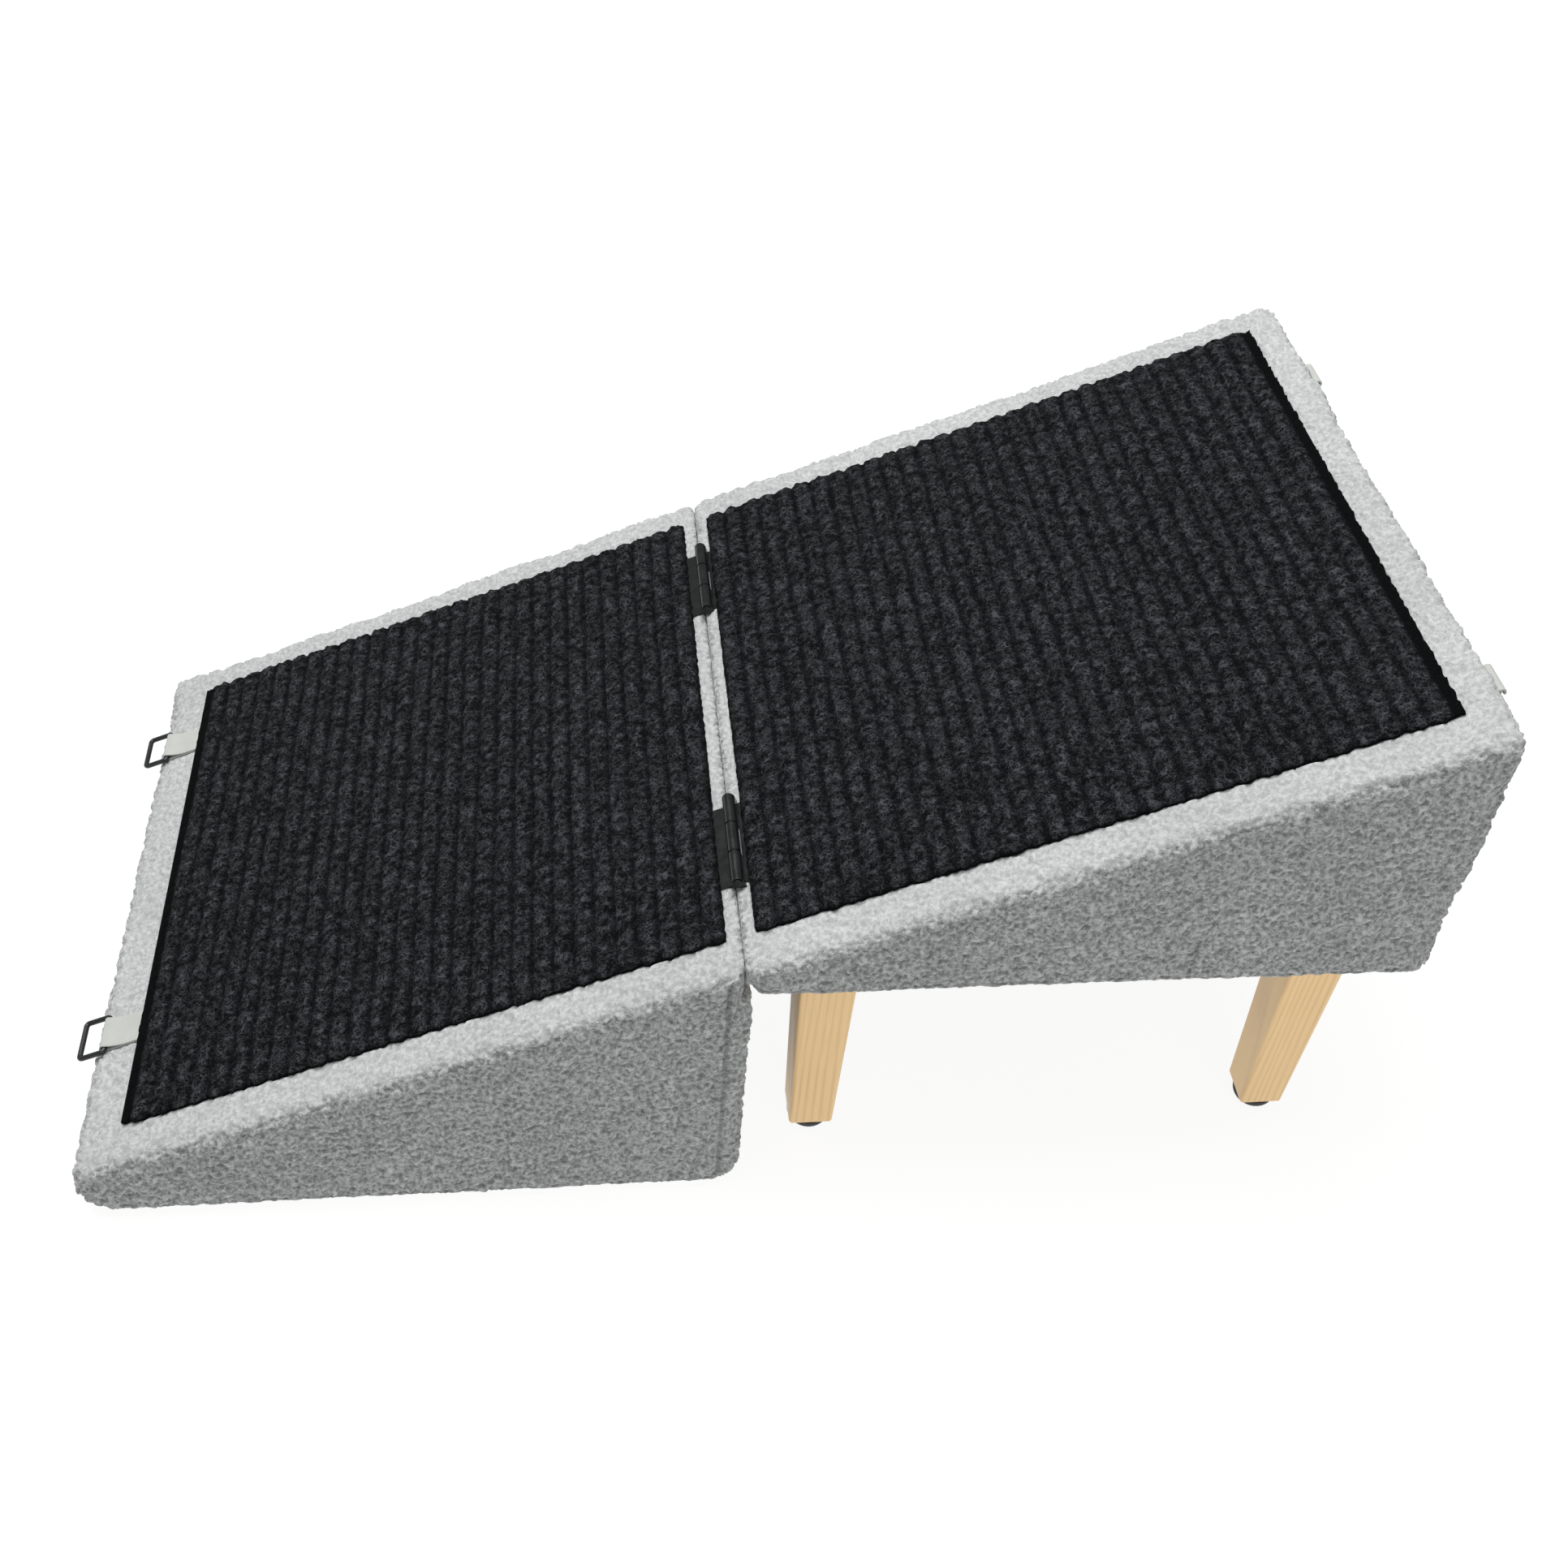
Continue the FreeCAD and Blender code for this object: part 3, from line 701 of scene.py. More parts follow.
@dataclass(frozen=True)
class PinFinish(Finish):
    """Hinge pin: near-white along its shank, partly real zinc plate and partly a painted glint so it shows
    bright in the knuckle gaps; dark paint on its heads.
    """

    name: str = "hinge_pins"
    slot: str = "zinc_steel"
    # Shank colour: zinc plate brightened to near-white as a painted glint.
    under: Colour = (0.86, 0.86, 0.84)
    over: Colour = (0.004, 0.0055, 0.0055)
    roughness: float = 0.28
    bump: float = 0.03 * MM
    strength: float = 0.3
    shank_half: float = 30.8 * MM

    def pattern(self, graph: Graph, shader: bpy.types.Node) -> tuple[Socket, Socket]:
        """Paint past the shank's ends."""
        _, fine = Mottle().use(graph, graph.place(), 200.0)
        _, y, _ = graph.split(graph.place())
        from_middle = graph.calc("ABSOLUTE", graph.minus(graph.calc("ABSOLUTE", y), HINGE_Y))
        painted = graph.between(from_middle, self.shank_half, self.shank_half + 0.1 * MM)
        graph.feed(shader.inputs["Metallic"], graph.times(graph.minus(1.0, painted), 0.5))
        return graph.mix(painted, self.under, self.over), fine


@dataclass(frozen=True)
class RubberFinish(Finish):
    """Moulded black rubber."""

    name: str = "black_rubber"
    slot: str = "rubber"
    under: Colour = (0.012, 0.012, 0.012)
    over: Colour = (0.04, 0.039, 0.037)
    bump: float = 0.05 * MM
    strength: float = 0.5

    def pattern(self, graph: Graph, shader: bpy.types.Node) -> tuple[Socket, Socket]:
        """Dull black with a little dust."""
        broad, fine = Mottle().use(graph, graph.place(), 130.0)
        graph.feed(shader.inputs["Roughness"], graph.between(broad, -2.6, 2.0))
        return graph.mix(graph.times(broad, 0.5), self.under, self.over), fine


@dataclass(frozen=True)
class FoamFinish(Finish):
    """Open-cell foam."""

    name: str = "seat_foam"
    slot: str = "foam"
    under: Colour = (0.55, 0.50, 0.36)
    over: Colour = (0.80, 0.76, 0.60)

    def pattern(self, graph: Graph, shader: bpy.types.Node) -> tuple[Socket, Socket]:
        """Small cells."""
        cells = graph.add("ShaderNodeTexVoronoi", {"Vector": graph.place(), "Scale": 900.0}).outputs[0]
        return graph.mix(cells, self.under, self.over), cells


PINE = WoodFinish()
PLYWOOD = WoodFinish(
    name="bare_plywood", slot="plywood", under=(0.66, 0.50, 0.31), over=(0.50, 0.35, 0.19), roughness=0.75,
    turn=(0.0, math.pi / 2, 0.0), scale=90.0, coat=0.0,
)
HINGE_PAINT = MetalFinish()
RING_PAINT = MetalFinish(
    name="dark_wire", slot="ring_steel", under=(0.010, 0.012, 0.012), over=(0.018, 0.020, 0.020),
    roughness=0.34,
)
ZINC = MetalFinish(
    name="zinc_plate", slot="zinc_steel", under=(0.62, 0.62, 0.61), over=(0.46, 0.46, 0.45), roughness=0.28,
    metallic=1.0,
)


# ---------------------------------------------------------------- covers


ROUND = {"offset_type": "OFFSET", "profile": 0.5, "affect": "EDGES", "material": -1}


@dataclass(frozen=True)
class Corner:
    """One corner of a wedge's side profile."""

    x: float
    z: float
    round: float


def wedge_block(corners: Sequence[Corner], half: float, edge_round: float) -> bmesh.types.BMesh:
    """Solid wedge with rounded corners and edges.

    Args:
        corners: Side profile, in order.
        half: Half its width.
        edge_round: Rounding of the edges round the side faces.

    Returns:
        A closed bmesh.
    """
    bm = bmesh.new()
    face = bm.faces.new([bm.verts.new((c.x, -half, c.z)) for c in corners])
    grown = bmesh.ops.extrude_face_region(bm, geom=[face])["geom"]
    moved = [v for v in grown if isinstance(v, bmesh.types.BMVert)]
    bmesh.ops.translate(bm, verts=moved, vec=(0, 2 * half, 0))
    bmesh.ops.recalc_face_normals(bm, faces=bm.faces[:])
    for i, corner in enumerate(corners):
        here = Vector((corner.x, corner.z))
        before = Vector((corners[i - 1].x, corners[i - 1].z)) - here
        following = corners[(i + 1) % len(corners)]
        after = Vector((following.x, following.z)) - here
        reach = corner.round / math.tan(before.angle(after) / 2)
        edges = [
            e for e in bm.edges
            if all((Vector((v.co.x, v.co.z)) - here).length < 1e-6 for v in e.verts)
        ]
        bmesh.ops.bevel(bm, geom=edges, offset=reach, segments=7, **ROUND)
    bm.normal_update()
    rim = [
        e for e in bm.edges
        if len(e.link_faces) == 2 and abs(abs(e.link_faces[0].normal.y) - abs(e.link_faces[1].normal.y)) > 0.9
    ]
    bmesh.ops.bevel(bm, geom=rim, offset=edge_round, segments=5, clamp_overlap=False, **ROUND)
    return bm


@dataclass
class FleeceCover:
    """Sherpa cover of one wedge: a curled outer skin round a plain inner one."""

    name: str
    node: str
    body: Body
    corners: list[Corner]
    half: float
    slope: Slope
    carpet_span: tuple[float, float]
    carpet_half: float
    pressed: list[tuple[float, float, float, float]]
    seed: int
    joint_face: float
    back_seam: float | None = None
    short_seam: float | None = None
    window: tuple[float, float, float] | None = None
    edge_round: float = 8.5 * MM
    thickness: float = 4.05 * MM
    voxel: float = 1.3 * MM
    curl_depth: float = 1.25 * MM
    worm: float = 3.5 * MM
    lump: float = 8.0 * MM
    lump_height: float = 0.32 * MM
    swell: float = 70.0 * MM
    swell_height: float = 0.4 * MM
    deepest: float = 1.4 * MM
    joint_fill: float = 1.5 * MM
    belly: float = 0.0
    belly_top: float = 0.0
    hem: float = 5.5 * MM
    seam_depth: float = 1.4 * MM
    seam_width: float = 1.0 * MM
    seam_turn: float = 10.0 * MM
    seam_clear: float = 3.0 * MM
    finish: Finish = field(default_factory=FleeceFinish)

    def build(self) -> bpy.types.Object:
        """Make, dress and place the cover.

        Returns:
            The finished piece.
        """
        bm = wedge_block(self.outline(), self.half, self.edge_round)
        if self.window:
            self.cut_window(bm)
        piece = link_mesh(self.name, bm)
        remesh = piece.modifiers.new("fine", "REMESH")
        remesh.mode = "VOXEL"
        remesh.voxel_size = self.voxel
        apply_modifiers(piece)
        self.raise_pile(piece.data)
        self.line(piece)
        smooth_shading(piece.data)
        self.finish.dress(piece)
        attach(piece, self.body.value)
        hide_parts(self.node)
        log.info("%s: %d faces", self.name, len(piece.data.polygons))
        return piece

    def outline(self) -> list[Corner]:
        """Outer side profile, with the padding that bulges out under the other wedge's nose."""
        if not self.belly:
            return self.corners
        front, back, top, toe = self.corners
        out = back.x + self.belly
        shoulder = [Corner(out, self.belly_top - 9 * MM, 6 * MM), Corner(back.x, self.belly_top, 2 * MM)]
        return [front, Corner(out, back.z, back.round), *shoulder, top, toe]

    def cut_window(self, bm: bmesh.types.BMesh) -> None:
        """Recess for the liner in the underside."""
        x0, x1, depth = self.window
        border = x0 - self.corners[0].x
        y = self.half - border
        cuts = [((x, 0, 0), (1, 0, 0)) for x in (x0, x1)] + [((0, at, 0), (0, 1, 0)) for at in (-y, y)]
        for place, normal in cuts:
            under = [f for f in bm.faces if f.normal.z < -0.99]
            edges = list({e for f in under for e in f.edges})
            verts = list({v for f in under for v in f.verts})
            bmesh.ops.bisect_plane(bm, geom=under + edges + verts, plane_co=place, plane_no=normal)
            bm.normal_update()
        middle = [
            f for f in bm.faces
            if f.normal.z < -0.99 and x0 < f.calc_center_median().x < x1 and abs(f.calc_center_median().y) < y
        ]
        bmesh.ops.inset_region(bm, faces=middle, thickness=0.2 * MM, depth=-depth)

    def raise_pile(self, mesh: bpy.types.Mesh) -> None:
        """Move the skin out into curls and in along its seams."""
        points, normals = mesh_arrays(mesh)
        x, y, z = points.T
        base = min(c.z for c in self.corners)
        warp = np.stack([PileField(self.seed + i, 14 * MM, 0.3, 12).at(points) for i in range(3)], axis=1)
        bent = points + warp * 0.9 * MM
        worms = PileField(self.seed + 5, self.worm, 0.25).at(bent)
        lumps = PileField(self.seed + 6, self.lump, 0.3, 24).at(points)
        swell = PileField(self.seed + 7, self.swell, 0.4, 16).at(points)
        curl = ramp_up(-0.9, 1.0, worms + 0.25 * lumps)
        height = self.curl_depth * (curl - 0.45) + self.lump_height * lumps + self.swell_height * swell

        along, off = self.slope.local(points)
        top = ramp_up(0.7, 0.95, normals @ np.array(self.slope.up))
        side = ramp_up(0.5, 0.9, np.abs(normals[:, 1]))
        wall = 1 - ramp_up(0.75, 0.98, np.abs(normals[:, 2]))
        below = ramp_up(0.6, 0.95, -normals[:, 2])

        seam = self.seams(x, z - base, wall, side)
        strip = wall * ramp_up(self.hem, self.hem - 1.5 * MM, z - base)
        height = height * (1 - 0.6 * strip) - self.seam_depth * seam

        covered = self.covered(along, y) * top
        height = height * (1 - covered) - 0.5 * MM * covered
        height = np.minimum(height, 0.9 * MM + 1.6 * MM * (1 - below))
        meeting = ramp_up(0.85, 0.98, np.abs(normals[:, 0])) * (np.abs(x - self.joint_face) < 1.0 * MM)
        height = height * (1 - 0.8 * meeting) + self.joint_fill * meeting
        flat = below * 0.75
        height = np.maximum(height * (1 - flat) - 0.2 * MM * flat, -self.deepest)

        moved = points + normals * height[:, None]
        moved[:, 2] = np.maximum(moved[:, 2], base)
        set_points(mesh, moved)
        set_attribute(mesh, "curl", curl * (1 - 0.35 * strip) + 0.35 * strip)
        set_attribute(mesh, "seam", seam)
        # Painted light: 1 on faces turned up to the overhead light, where the fleece's shaded gaps are
        # painted lighter.
        set_attribute(mesh, "top_light", ramp_up(0.35, 0.95, normals[:, 2]))

    def seams(self, x: np.ndarray, up: np.ndarray, wall: np.ndarray, side: np.ndarray) -> np.ndarray:
        """Where the seams are sewn in.

        Args:
            x: Place of each point up the ramp.
            up: Its height over the cover's underside.
            wall: 1 on the upright faces.
            side: 1 on the two faces beside the ramp.

        Returns:
            1 on a seam, 0 away from it.
        """
        seam = self.sewn(up - self.hem) * wall
        if self.back_seam is not None:
            turn = self.seam_turn
            short = np.maximum(turn - (self.back_seam - x), 0)
            low = np.maximum(turn - (up - self.hem), 0)
            line = self.sewn(turn - np.hypot(short, low)) * side
            seam = seam * (x < self.back_seam + self.seam_clear)
            seam = np.maximum(seam, line * (up > self.hem - self.seam_clear))
        if self.short_seam is not None:
            fading = ramp_up(60 * MM, 20 * MM, up)
            seam = np.maximum(seam, 0.45 * fading * side * self.sewn(x - self.short_seam))
        return seam

    def sewn(self, away: np.ndarray) -> np.ndarray:
        """1 on a seam's line, falling off with the distance from it."""
        return np.exp(-((away / self.seam_width) ** 2))

    def covered(self, along: np.ndarray, y: np.ndarray) -> np.ndarray:
        """1 where something lies on the pile, 0 where it stands free."""
        soft = 1.2 * MM
        start, end = self.carpet_span
        mask = ramp_up(start - soft, start + soft, along) * ramp_up(end + soft, end - soft, along)
        mask *= ramp_up(self.carpet_half + soft, self.carpet_half - soft, np.abs(y))
        for a0, a1, y0, y1 in self.pressed:
            spot = ramp_up(a0 - soft, a0 + soft, along) * ramp_up(a1 + soft, a1 - soft, along)
            spot *= ramp_up(y0 - soft, y0 + soft, y) * ramp_up(y1 + soft, y1 - soft, y)
            mask = np.maximum(mask, spot)
        return mask

    def line(self, piece: bpy.types.Object) -> None:
        """Give the skin its plain inner side, round the wooden box."""
        middle_x = (self.corners[0].x + self.corners[1].x) / 2
        inner = []
        for corner in self.corners:
            drop = self.thickness / math.cos(self.slope.angle)
            x = corner.x + math.copysign(self.thickness, middle_x - corner.x)
            low = corner.z < self.slope.height(corner.x) - 10 * MM
            z = corner.z + self.thickness if low else self.slope.height(x) - drop
            inner.append(Corner(x, z, max(corner.round - self.thickness, 1.0 * MM)))
        bm = wedge_block(inner, self.half - self.thickness, 0.4 * MM)
        bmesh.ops.reverse_faces(bm, faces=bm.faces[:])
        lining = bpy.data.meshes.new("lining")
        bm.to_mesh(lining)
        bm.clear()
        bm.from_mesh(piece.data)
        bm.from_mesh(lining)
        bm.to_mesh(piece.data)
        bm.free()
        bpy.data.meshes.remove(lining)


# ---------------------------------------------------------------- carpets


@dataclass
class Carpet:
    """Ribbed carpet laid on one wedge."""

    name: str
    node: str
    body: Body
    slope: Slope
    start: float
    end: float
    half: float
    flat: tuple[float, float]
    rests_on: list[str]
    band_at_start: bool
    raised: list[tuple[float, float, float, float]]
    seed: int
    pitch: float = 11.5 * MM
    per_rib: int = 8
    cell: float = 2.1 * MM
    crest: float = 4.1 * MM
    groove: float = 1.4 * MM
    end_band: float = 5.0 * MM
    band_height: float = 2.2 * MM
    scallop: float = 1.5 * MM
    tuft: float = 4.6 * MM
    tuft_height: float = 0.28 * MM
    clearance: float = 0.12 * MM
    raised_floor: float = 1.75 * MM
    raised_top: float = 2.4 * MM
    finish: Finish = field(default_factory=CarpetFinish)

    def build(self) -> bpy.types.Object:
        """Make, dress and place the carpet.

        Returns:
            The finished piece.
        """
        length = self.end - self.start
        middle = Matrix.Translation(((self.start + self.end) / 2, 0, 0))
        rows = round(length / self.pitch * self.per_rib)
        columns = round(2 * self.half / self.cell)
        bm = flat_grid(rows, columns, middle @ Matrix.Diagonal((length, 2 * self.half, 1, 1)))
        top = bmesh.ops.extrude_face_region(bm, geom=bm.faces[:])["geom"]
        upper = {v for v in top if isinstance(v, bmesh.types.BMVert)}
        bmesh.ops.translate(bm, verts=list(upper), vec=(0, 0, self.crest))
        bmesh.ops.recalc_face_normals(bm, faces=bm.faces[:])
        piece = link_mesh(self.name, bm)
        self.rib(piece.data)
        piece.data.transform(self.slope.matrix())
        smooth_shading(piece.data)
        self.finish.dress(piece)
        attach(piece, self.body.value)
        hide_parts(self.node)
        log.info("%s: %d faces", self.name, len(piece.data.polygons))
        return piece

    def rib(self, mesh: bpy.types.Mesh) -> None:
        """Shape the ribs, the tufts, the scalloped edges and the cutouts."""
        points, _ = mesh_arrays(mesh)
        along, across, off = points.T
        upper = off > self.crest / 2
        from_start, from_end = along - self.start, self.end - along
        edge = from_start if self.band_at_start else from_end
        rise = np.abs(np.sin(math.pi * (edge - self.end_band) / self.pitch)) ** 0.5
        band = ramp_up(self.end_band + 1.0 * MM, self.end_band - 1.0 * MM, edge)
        rise = rise * (1 - band)
        flat_points = np.stack([along, across, np.zeros_like(along)], axis=1)
        tufts = PileField(self.seed, self.tuft, 0.35).at(flat_points)
        wander = PileField(self.seed + 1, 60 * MM, 0.4, 16).at(flat_points)
        full = self.groove + (self.crest - self.groove) * rise
        height = full * (1 - band) + self.band_height * band + self.tuft_height * tufts
        ends = np.minimum(from_start, from_end)
        rim = np.minimum(self.half - np.abs(across), ends)
        height -= 1.1 * MM * ramp_up(2.2 * MM, 0.0, rim) * rise
        floor = np.full_like(height, self.clearance)
        for a0, a1, y0, y1 in self.raised:
            over = (along > a0) & (along < a1) & (across > y0) & (across < y1)
            floor[over] = self.raised_floor
            height[over] = np.maximum(height[over], self.raised_top)
        new_off = np.where(upper, height, floor)
        side = np.sign(across) * ramp_up(self.half - 5 * MM, self.half, np.abs(across))
        new_across = across - side * self.scallop * (1 - rise) + side * 0.35 * MM * tufts
        end_pull = ramp_up(3 * MM, 0, ends) * 0.25 * MM * tufts
        new_along = along + end_pull + 0.22 * MM * wander * ramp_up(0, 10 * MM, rim)
        set_points(mesh, np.stack([new_along, new_across, new_off], axis=1))
        # Rib height, 0 in the grooves; the carpet's material uses it to paint shade in the grooves.
        set_attribute(mesh, "rib", np.where(upper, rise, 0))


# ---------------------------------------------------------------- webbing


@dataclass
class Ribbon:
    """A strip of webbing that follows a path of points."""

    name: str
    path: list[Vector]
    width: float
    thickness: float
    centre_y: float
    finish: Finish = field(default_factory=WebbingFinish)
    cuts: int = 6

    def build(self) -> bpy.types.Object:
        """Extrude the strip's end edge along the path and give it thickness.

        Returns:
            The new piece, not yet placed on a body.
        """
        bm = bmesh.new()
        across = bm.verts.layers.float.new("across")
        along = bm.verts.layers.float.new("along")
        row = []
        for i in range(self.cuts + 1):
            off = self.centre_y + self.width * (i / self.cuts - 0.5)
            row.append(bm.verts.new(self.path[0] + Vector((0, off, 0))))
            row[i][across] = self.width * i / self.cuts
        edges = [bm.edges.new(row[i:i + 2]) for i in range(self.cuts)]
        travelled = 0.0
        for here, there in zip(self.path, self.path[1:]):
            travelled += (there - here).length
            grown = bmesh.ops.extrude_edge_only(bm, edges=edges)["geom"]
            verts = [v for v in grown if isinstance(v, bmesh.types.BMVert)]
            edges = [e for e in grown if isinstance(e, bmesh.types.BMEdge)]
            bmesh.ops.translate(bm, verts=verts, vec=there - here)
            for vert in verts:
                vert[along] = travelled
        bmesh.ops.recalc_face_normals(bm, faces=bm.faces[:])
        piece = link_mesh(self.name, bm)
        thicken(piece, self.thickness, self.thickness * 0.3)
        self.finish.dress(piece)
        return piece


def arc(centre: Vector, radius: float, start: float, end: float, steps: int) -> list[Vector]:
    """Points on an arc in a plane across Y.

    Args:
        centre: Its centre.
        radius: Its radius.
        start: First angle, from X towards Z.
        end: Last angle.
        steps: How many pieces it is divided into.

    Returns:
        The points, both ends among them.
    """
    spots = []
    for i in range(steps + 1):
        angle = start + (end - start) * i / steps
        spots.append(centre + radius * Vector((math.cos(angle), 0, math.sin(angle))))
    return spots


def stitch_row(bm: bmesh.types.BMesh, start: Vector, end: Vector, count: int, size: Vector) -> None:
    """Row of thread stitches from one point to another.

    Args:
        bm: Bmesh that the stitches are added to.
        start: First stitch's middle.
        end: Last stitch's middle.
        count: How many there are.
        size: Half size of one stitch along X, Y and Z.
    """
    for i in range(count):
        place = start.lerp(end, i / max(count - 1, 1))
        shape = Matrix.Translation(place) @ Matrix.Diagonal((*size, 1))
        bmesh.ops.create_icosphere(bm, subdivisions=1, radius=1.0, matrix=shape)


@dataclass
class ToeTab:
    """Webbing folded round a ring's bar and tucked under the carpet."""

    side: Side
    slope: Slope
    centre_y: float
    bar: float = 7.0 * MM
    rise: float = 2.58 * MM
    hole: float = 1.58 * MM
    tail: float = 44.0 * MM
    width: float = 20.2 * MM
    web: float = 1.0 * MM

    def build(self) -> bpy.types.Object:
        """Make, dress and place the tab.

        Returns:
            The finished piece.
        """
        centre = Vector((self.bar, 0, self.rise))
        radius = self.hole + self.web / 2
        reach = self.tail - self.bar
        turn = arc(centre, radius, -math.pi / 2, -3 * math.pi / 2, 12)
        under = [Vector((self.tail - i * reach / 8, 0, self.web / 2)) for i in range(8)]
        over = []
        for i in range(1, 11):
            t = i / 10
            settle = (1 - min(t / 0.35, 1)) ** 2
            height = 1.5 * self.web + (self.rise + radius - 1.5 * self.web) * settle
            over.append(Vector((self.bar + t * reach, 0, height)))
        path = under + turn + over
        piece = Ribbon(f"toe_webbing_{self.side.value}", path, self.width, self.web, self.centre_y).build()
        piece.data.transform(self.slope.matrix())
        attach(piece, Body.LOWER.value)
        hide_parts(f"toe_tab_{self.side.value}")
        log.info("%s: folded round its ring", piece.name)
        return piece


@dataclass
class ClosingStrap:
    """Strap that hangs down the back wall, with its sewn end and its loop tape."""

    side: Side
    body: Body
    wall_x: float
    centre_y: float
    root_z: float
    length: float = 128.0 * MM
    width: float = 19.0 * MM
    thick: float = 1.2 * MM
    patch_drop: float = 26.0 * MM
    roll: float = 2.0 * MM
    stand_off: float = 2.8 * MM

    @property
    def top(self) -> float:
        """Height of the hanging strap's upper end."""
        return self.root_z + 0.4 * MM

    def sway(self, t: float) -> float:
        """How far the hanging strap waves out, from 0 at its top to 1 at its end."""
        return max(0.9 * MM * math.sin(t * 7.0) * t * (1.2 - t), -0.4 * MM)

    def build(self) -> None:
        """Make, dress and place the strap and what is sewn to it."""
        self.build_sewn_end()
        self.build_stitches()
        strap = self.build_strap()
        self.build_tape()

    def build_sewn_end(self) -> None:
        """Patch sewn to the wall, rolled over at its top where the strap leaves it."""
        x = self.wall_x + self.thick / 2
        flat = [Vector((x, 0, self.root_z - self.patch_drop + i * 3 * MM)) for i in range(9)]
        centre = Vector((self.wall_x + self.thick / 2 + self.roll, 0, self.root_z - 1.6 * MM))
        over = arc(centre, self.roll, math.pi, -0.15 * math.pi, 14)
        path = flat + over
        piece = Ribbon(f"strap_end_{self.side.value}", path, self.width, self.thick, self.centre_y).build()
        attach(piece, Body.UPPER.value)
        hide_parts(f"strap_patch_{self.side.value}")
        log.info("%s: sewn to the wall", piece.name)

    def build_stitches(self) -> None:
        """Rows of stitches all round the patch."""
        bm = bmesh.new()
        face = self.wall_x + self.thick + 0.05 * MM
        half = self.width / 2 - 2.2 * MM
        low = self.root_z - self.patch_drop + 2.4 * MM
        high = self.root_z - 4.0 * MM
        tall = Vector((0.25 * MM, 0.28 * MM, 1.1 * MM))
        for y in (self.centre_y - half, self.centre_y + half):
            stitch_row(bm, Vector((face, y, low)), Vector((face, y, high)), 8, tall)
        left = self.centre_y - half + 1.4 * MM
        right = self.centre_y + half - 1.4 * MM
        for z in (low, high):
            stitch_row(bm, Vector((face, left, z)), Vector((face, right, z)), 5, tall.xzy)
        stitches = link_mesh(f"strap_end_stitches_{self.side.value}", bm)
        smooth_shading(stitches.data)
        FastenerFinish().dress(stitches)
        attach(stitches, Body.UPPER.value)
        log.info("%s: sewn", stitches.name)

    def build_strap(self) -> bpy.types.Object:
        """Hanging length, a little wavy.

        Returns:
            The strap.
        """
        x = self.wall_x + self.stand_off - self.thick / 2
        path = []
        steps = 32
        for i in range(steps + 1):
            t = i / steps
            path.append(Vector((x + self.sway(t), 0, self.top - t * self.length)))
        name = f"closing_strap_{self.side.value}"
        piece = Ribbon(name, path, self.width, self.thick, self.centre_y).build()
        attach(piece, self.body.value)
        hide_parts(f"strap_{self.side.value}")
        log.info("%s: hangs on the back wall", piece.name)
        return piece

    def build_tape(self) -> None:
        """Loop tape sewn on the strap's outer face, with its stitches."""
        outer = self.wall_x + self.stand_off + 0.35 * MM
        low = self.root_z - self.length + 6 * MM
        high = low + 60 * MM
        place = Matrix.Translation((outer, self.centre_y, (low + high) / 2))
        upright = Matrix.Rotation(math.pi / 2, 4, "Y")
        span = Matrix.Diagonal((high - low, self.width - 4 * MM, 1, 1))
        bm = flat_grid(30, 8, place @ upright @ span)
        for vert in bm.verts:
            vert.co.x += self.sway((self.top - vert.co.z) / self.length)
        tape = link_mesh(f"loop_tape_{self.side.value}", bm)
        thicken(tape, 0.9 * MM)
        FastenerFinish().dress(tape)
        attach(tape, self.body.value)
        log.info("%s: sewn on", tape.name)


# ---------------------------------------------------------------- liner


@dataclass
class Liner:
    """Spun liner stapled under the upper wedge."""

    node: str = "base_liner"
    thickness: float = 0.5 * MM
    staple_pitch: float = 42.0 * MM
    inset: float = 6.0 * MM

    def build(self) -> None:
        """Make, dress and place the liner and its staples."""
        low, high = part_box(self.node)
        span = Matrix.Diagonal((high.x - low.x - 1.0 * MM, high.y - low.y - 1.0 * MM, 1, 1))
        middle = Matrix.Translation(((low.x + high.x) / 2, 0, low.z + self.thickness / 2 + 0.05 * MM))
        piece = link_mesh("under_liner", flat_grid(60, 70, middle @ span))
        points, _ = mesh_arrays(piece.data)
        creases = PileField(71, 38 * MM, 0.5, 16).at(points * np.array([1.0, 0.35, 1.0]))
        points[:, 2] += 0.18 * MM * (creases - 0.5)
        set_points(piece.data, points)
        thicken(piece, self.thickness)
        LinerFinish().dress(piece)
        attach(piece, Body.UPPER.value)
        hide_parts(self.node)
        self.build_staples(low, high)
        log.info("%s: stapled under the upper wedge", piece.name)

    def build_staples(self, low: Vector, high: Vector) -> None:
        """Row of staple crowns all round the liner."""
        bm = bmesh.new()
        z = low.z - 0.25 * MM
        x0, x1 = low.x + self.inset, high.x - self.inset
        y0, y1 = low.y + self.inset, high.y - self.inset
        crown = Vector((10 * MM, 0.8 * MM, 0.6 * MM))
        rows = [(Vector((x0, y)), Vector((x1, y)), crown) for y in (y0, y1)]
        rows += [(Vector((x, y0)), Vector((x, y1)), crown.yxz) for x in (x0, x1)]
        for start, end, size in rows:
            count = round((end - start).length / self.staple_pitch)
            for i in range(count):
                spot = start.lerp(end, (i + 0.5) / count)
                shape = Matrix.Translation((*spot, z)) @ Matrix.Diagonal((*size, 1))
                bmesh.ops.create_cube(bm, size=1.0, matrix=shape)
        bmesh.ops.bevel(bm, geom=bm.edges[:], offset=0.15 * MM, segments=1, **ROUND)
        staples = link_mesh("liner_staples", bm)
        ZINC.dress(staples)
        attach(staples, Body.UPPER.value)


# ---------------------------------------------------------------- carried-over nodes


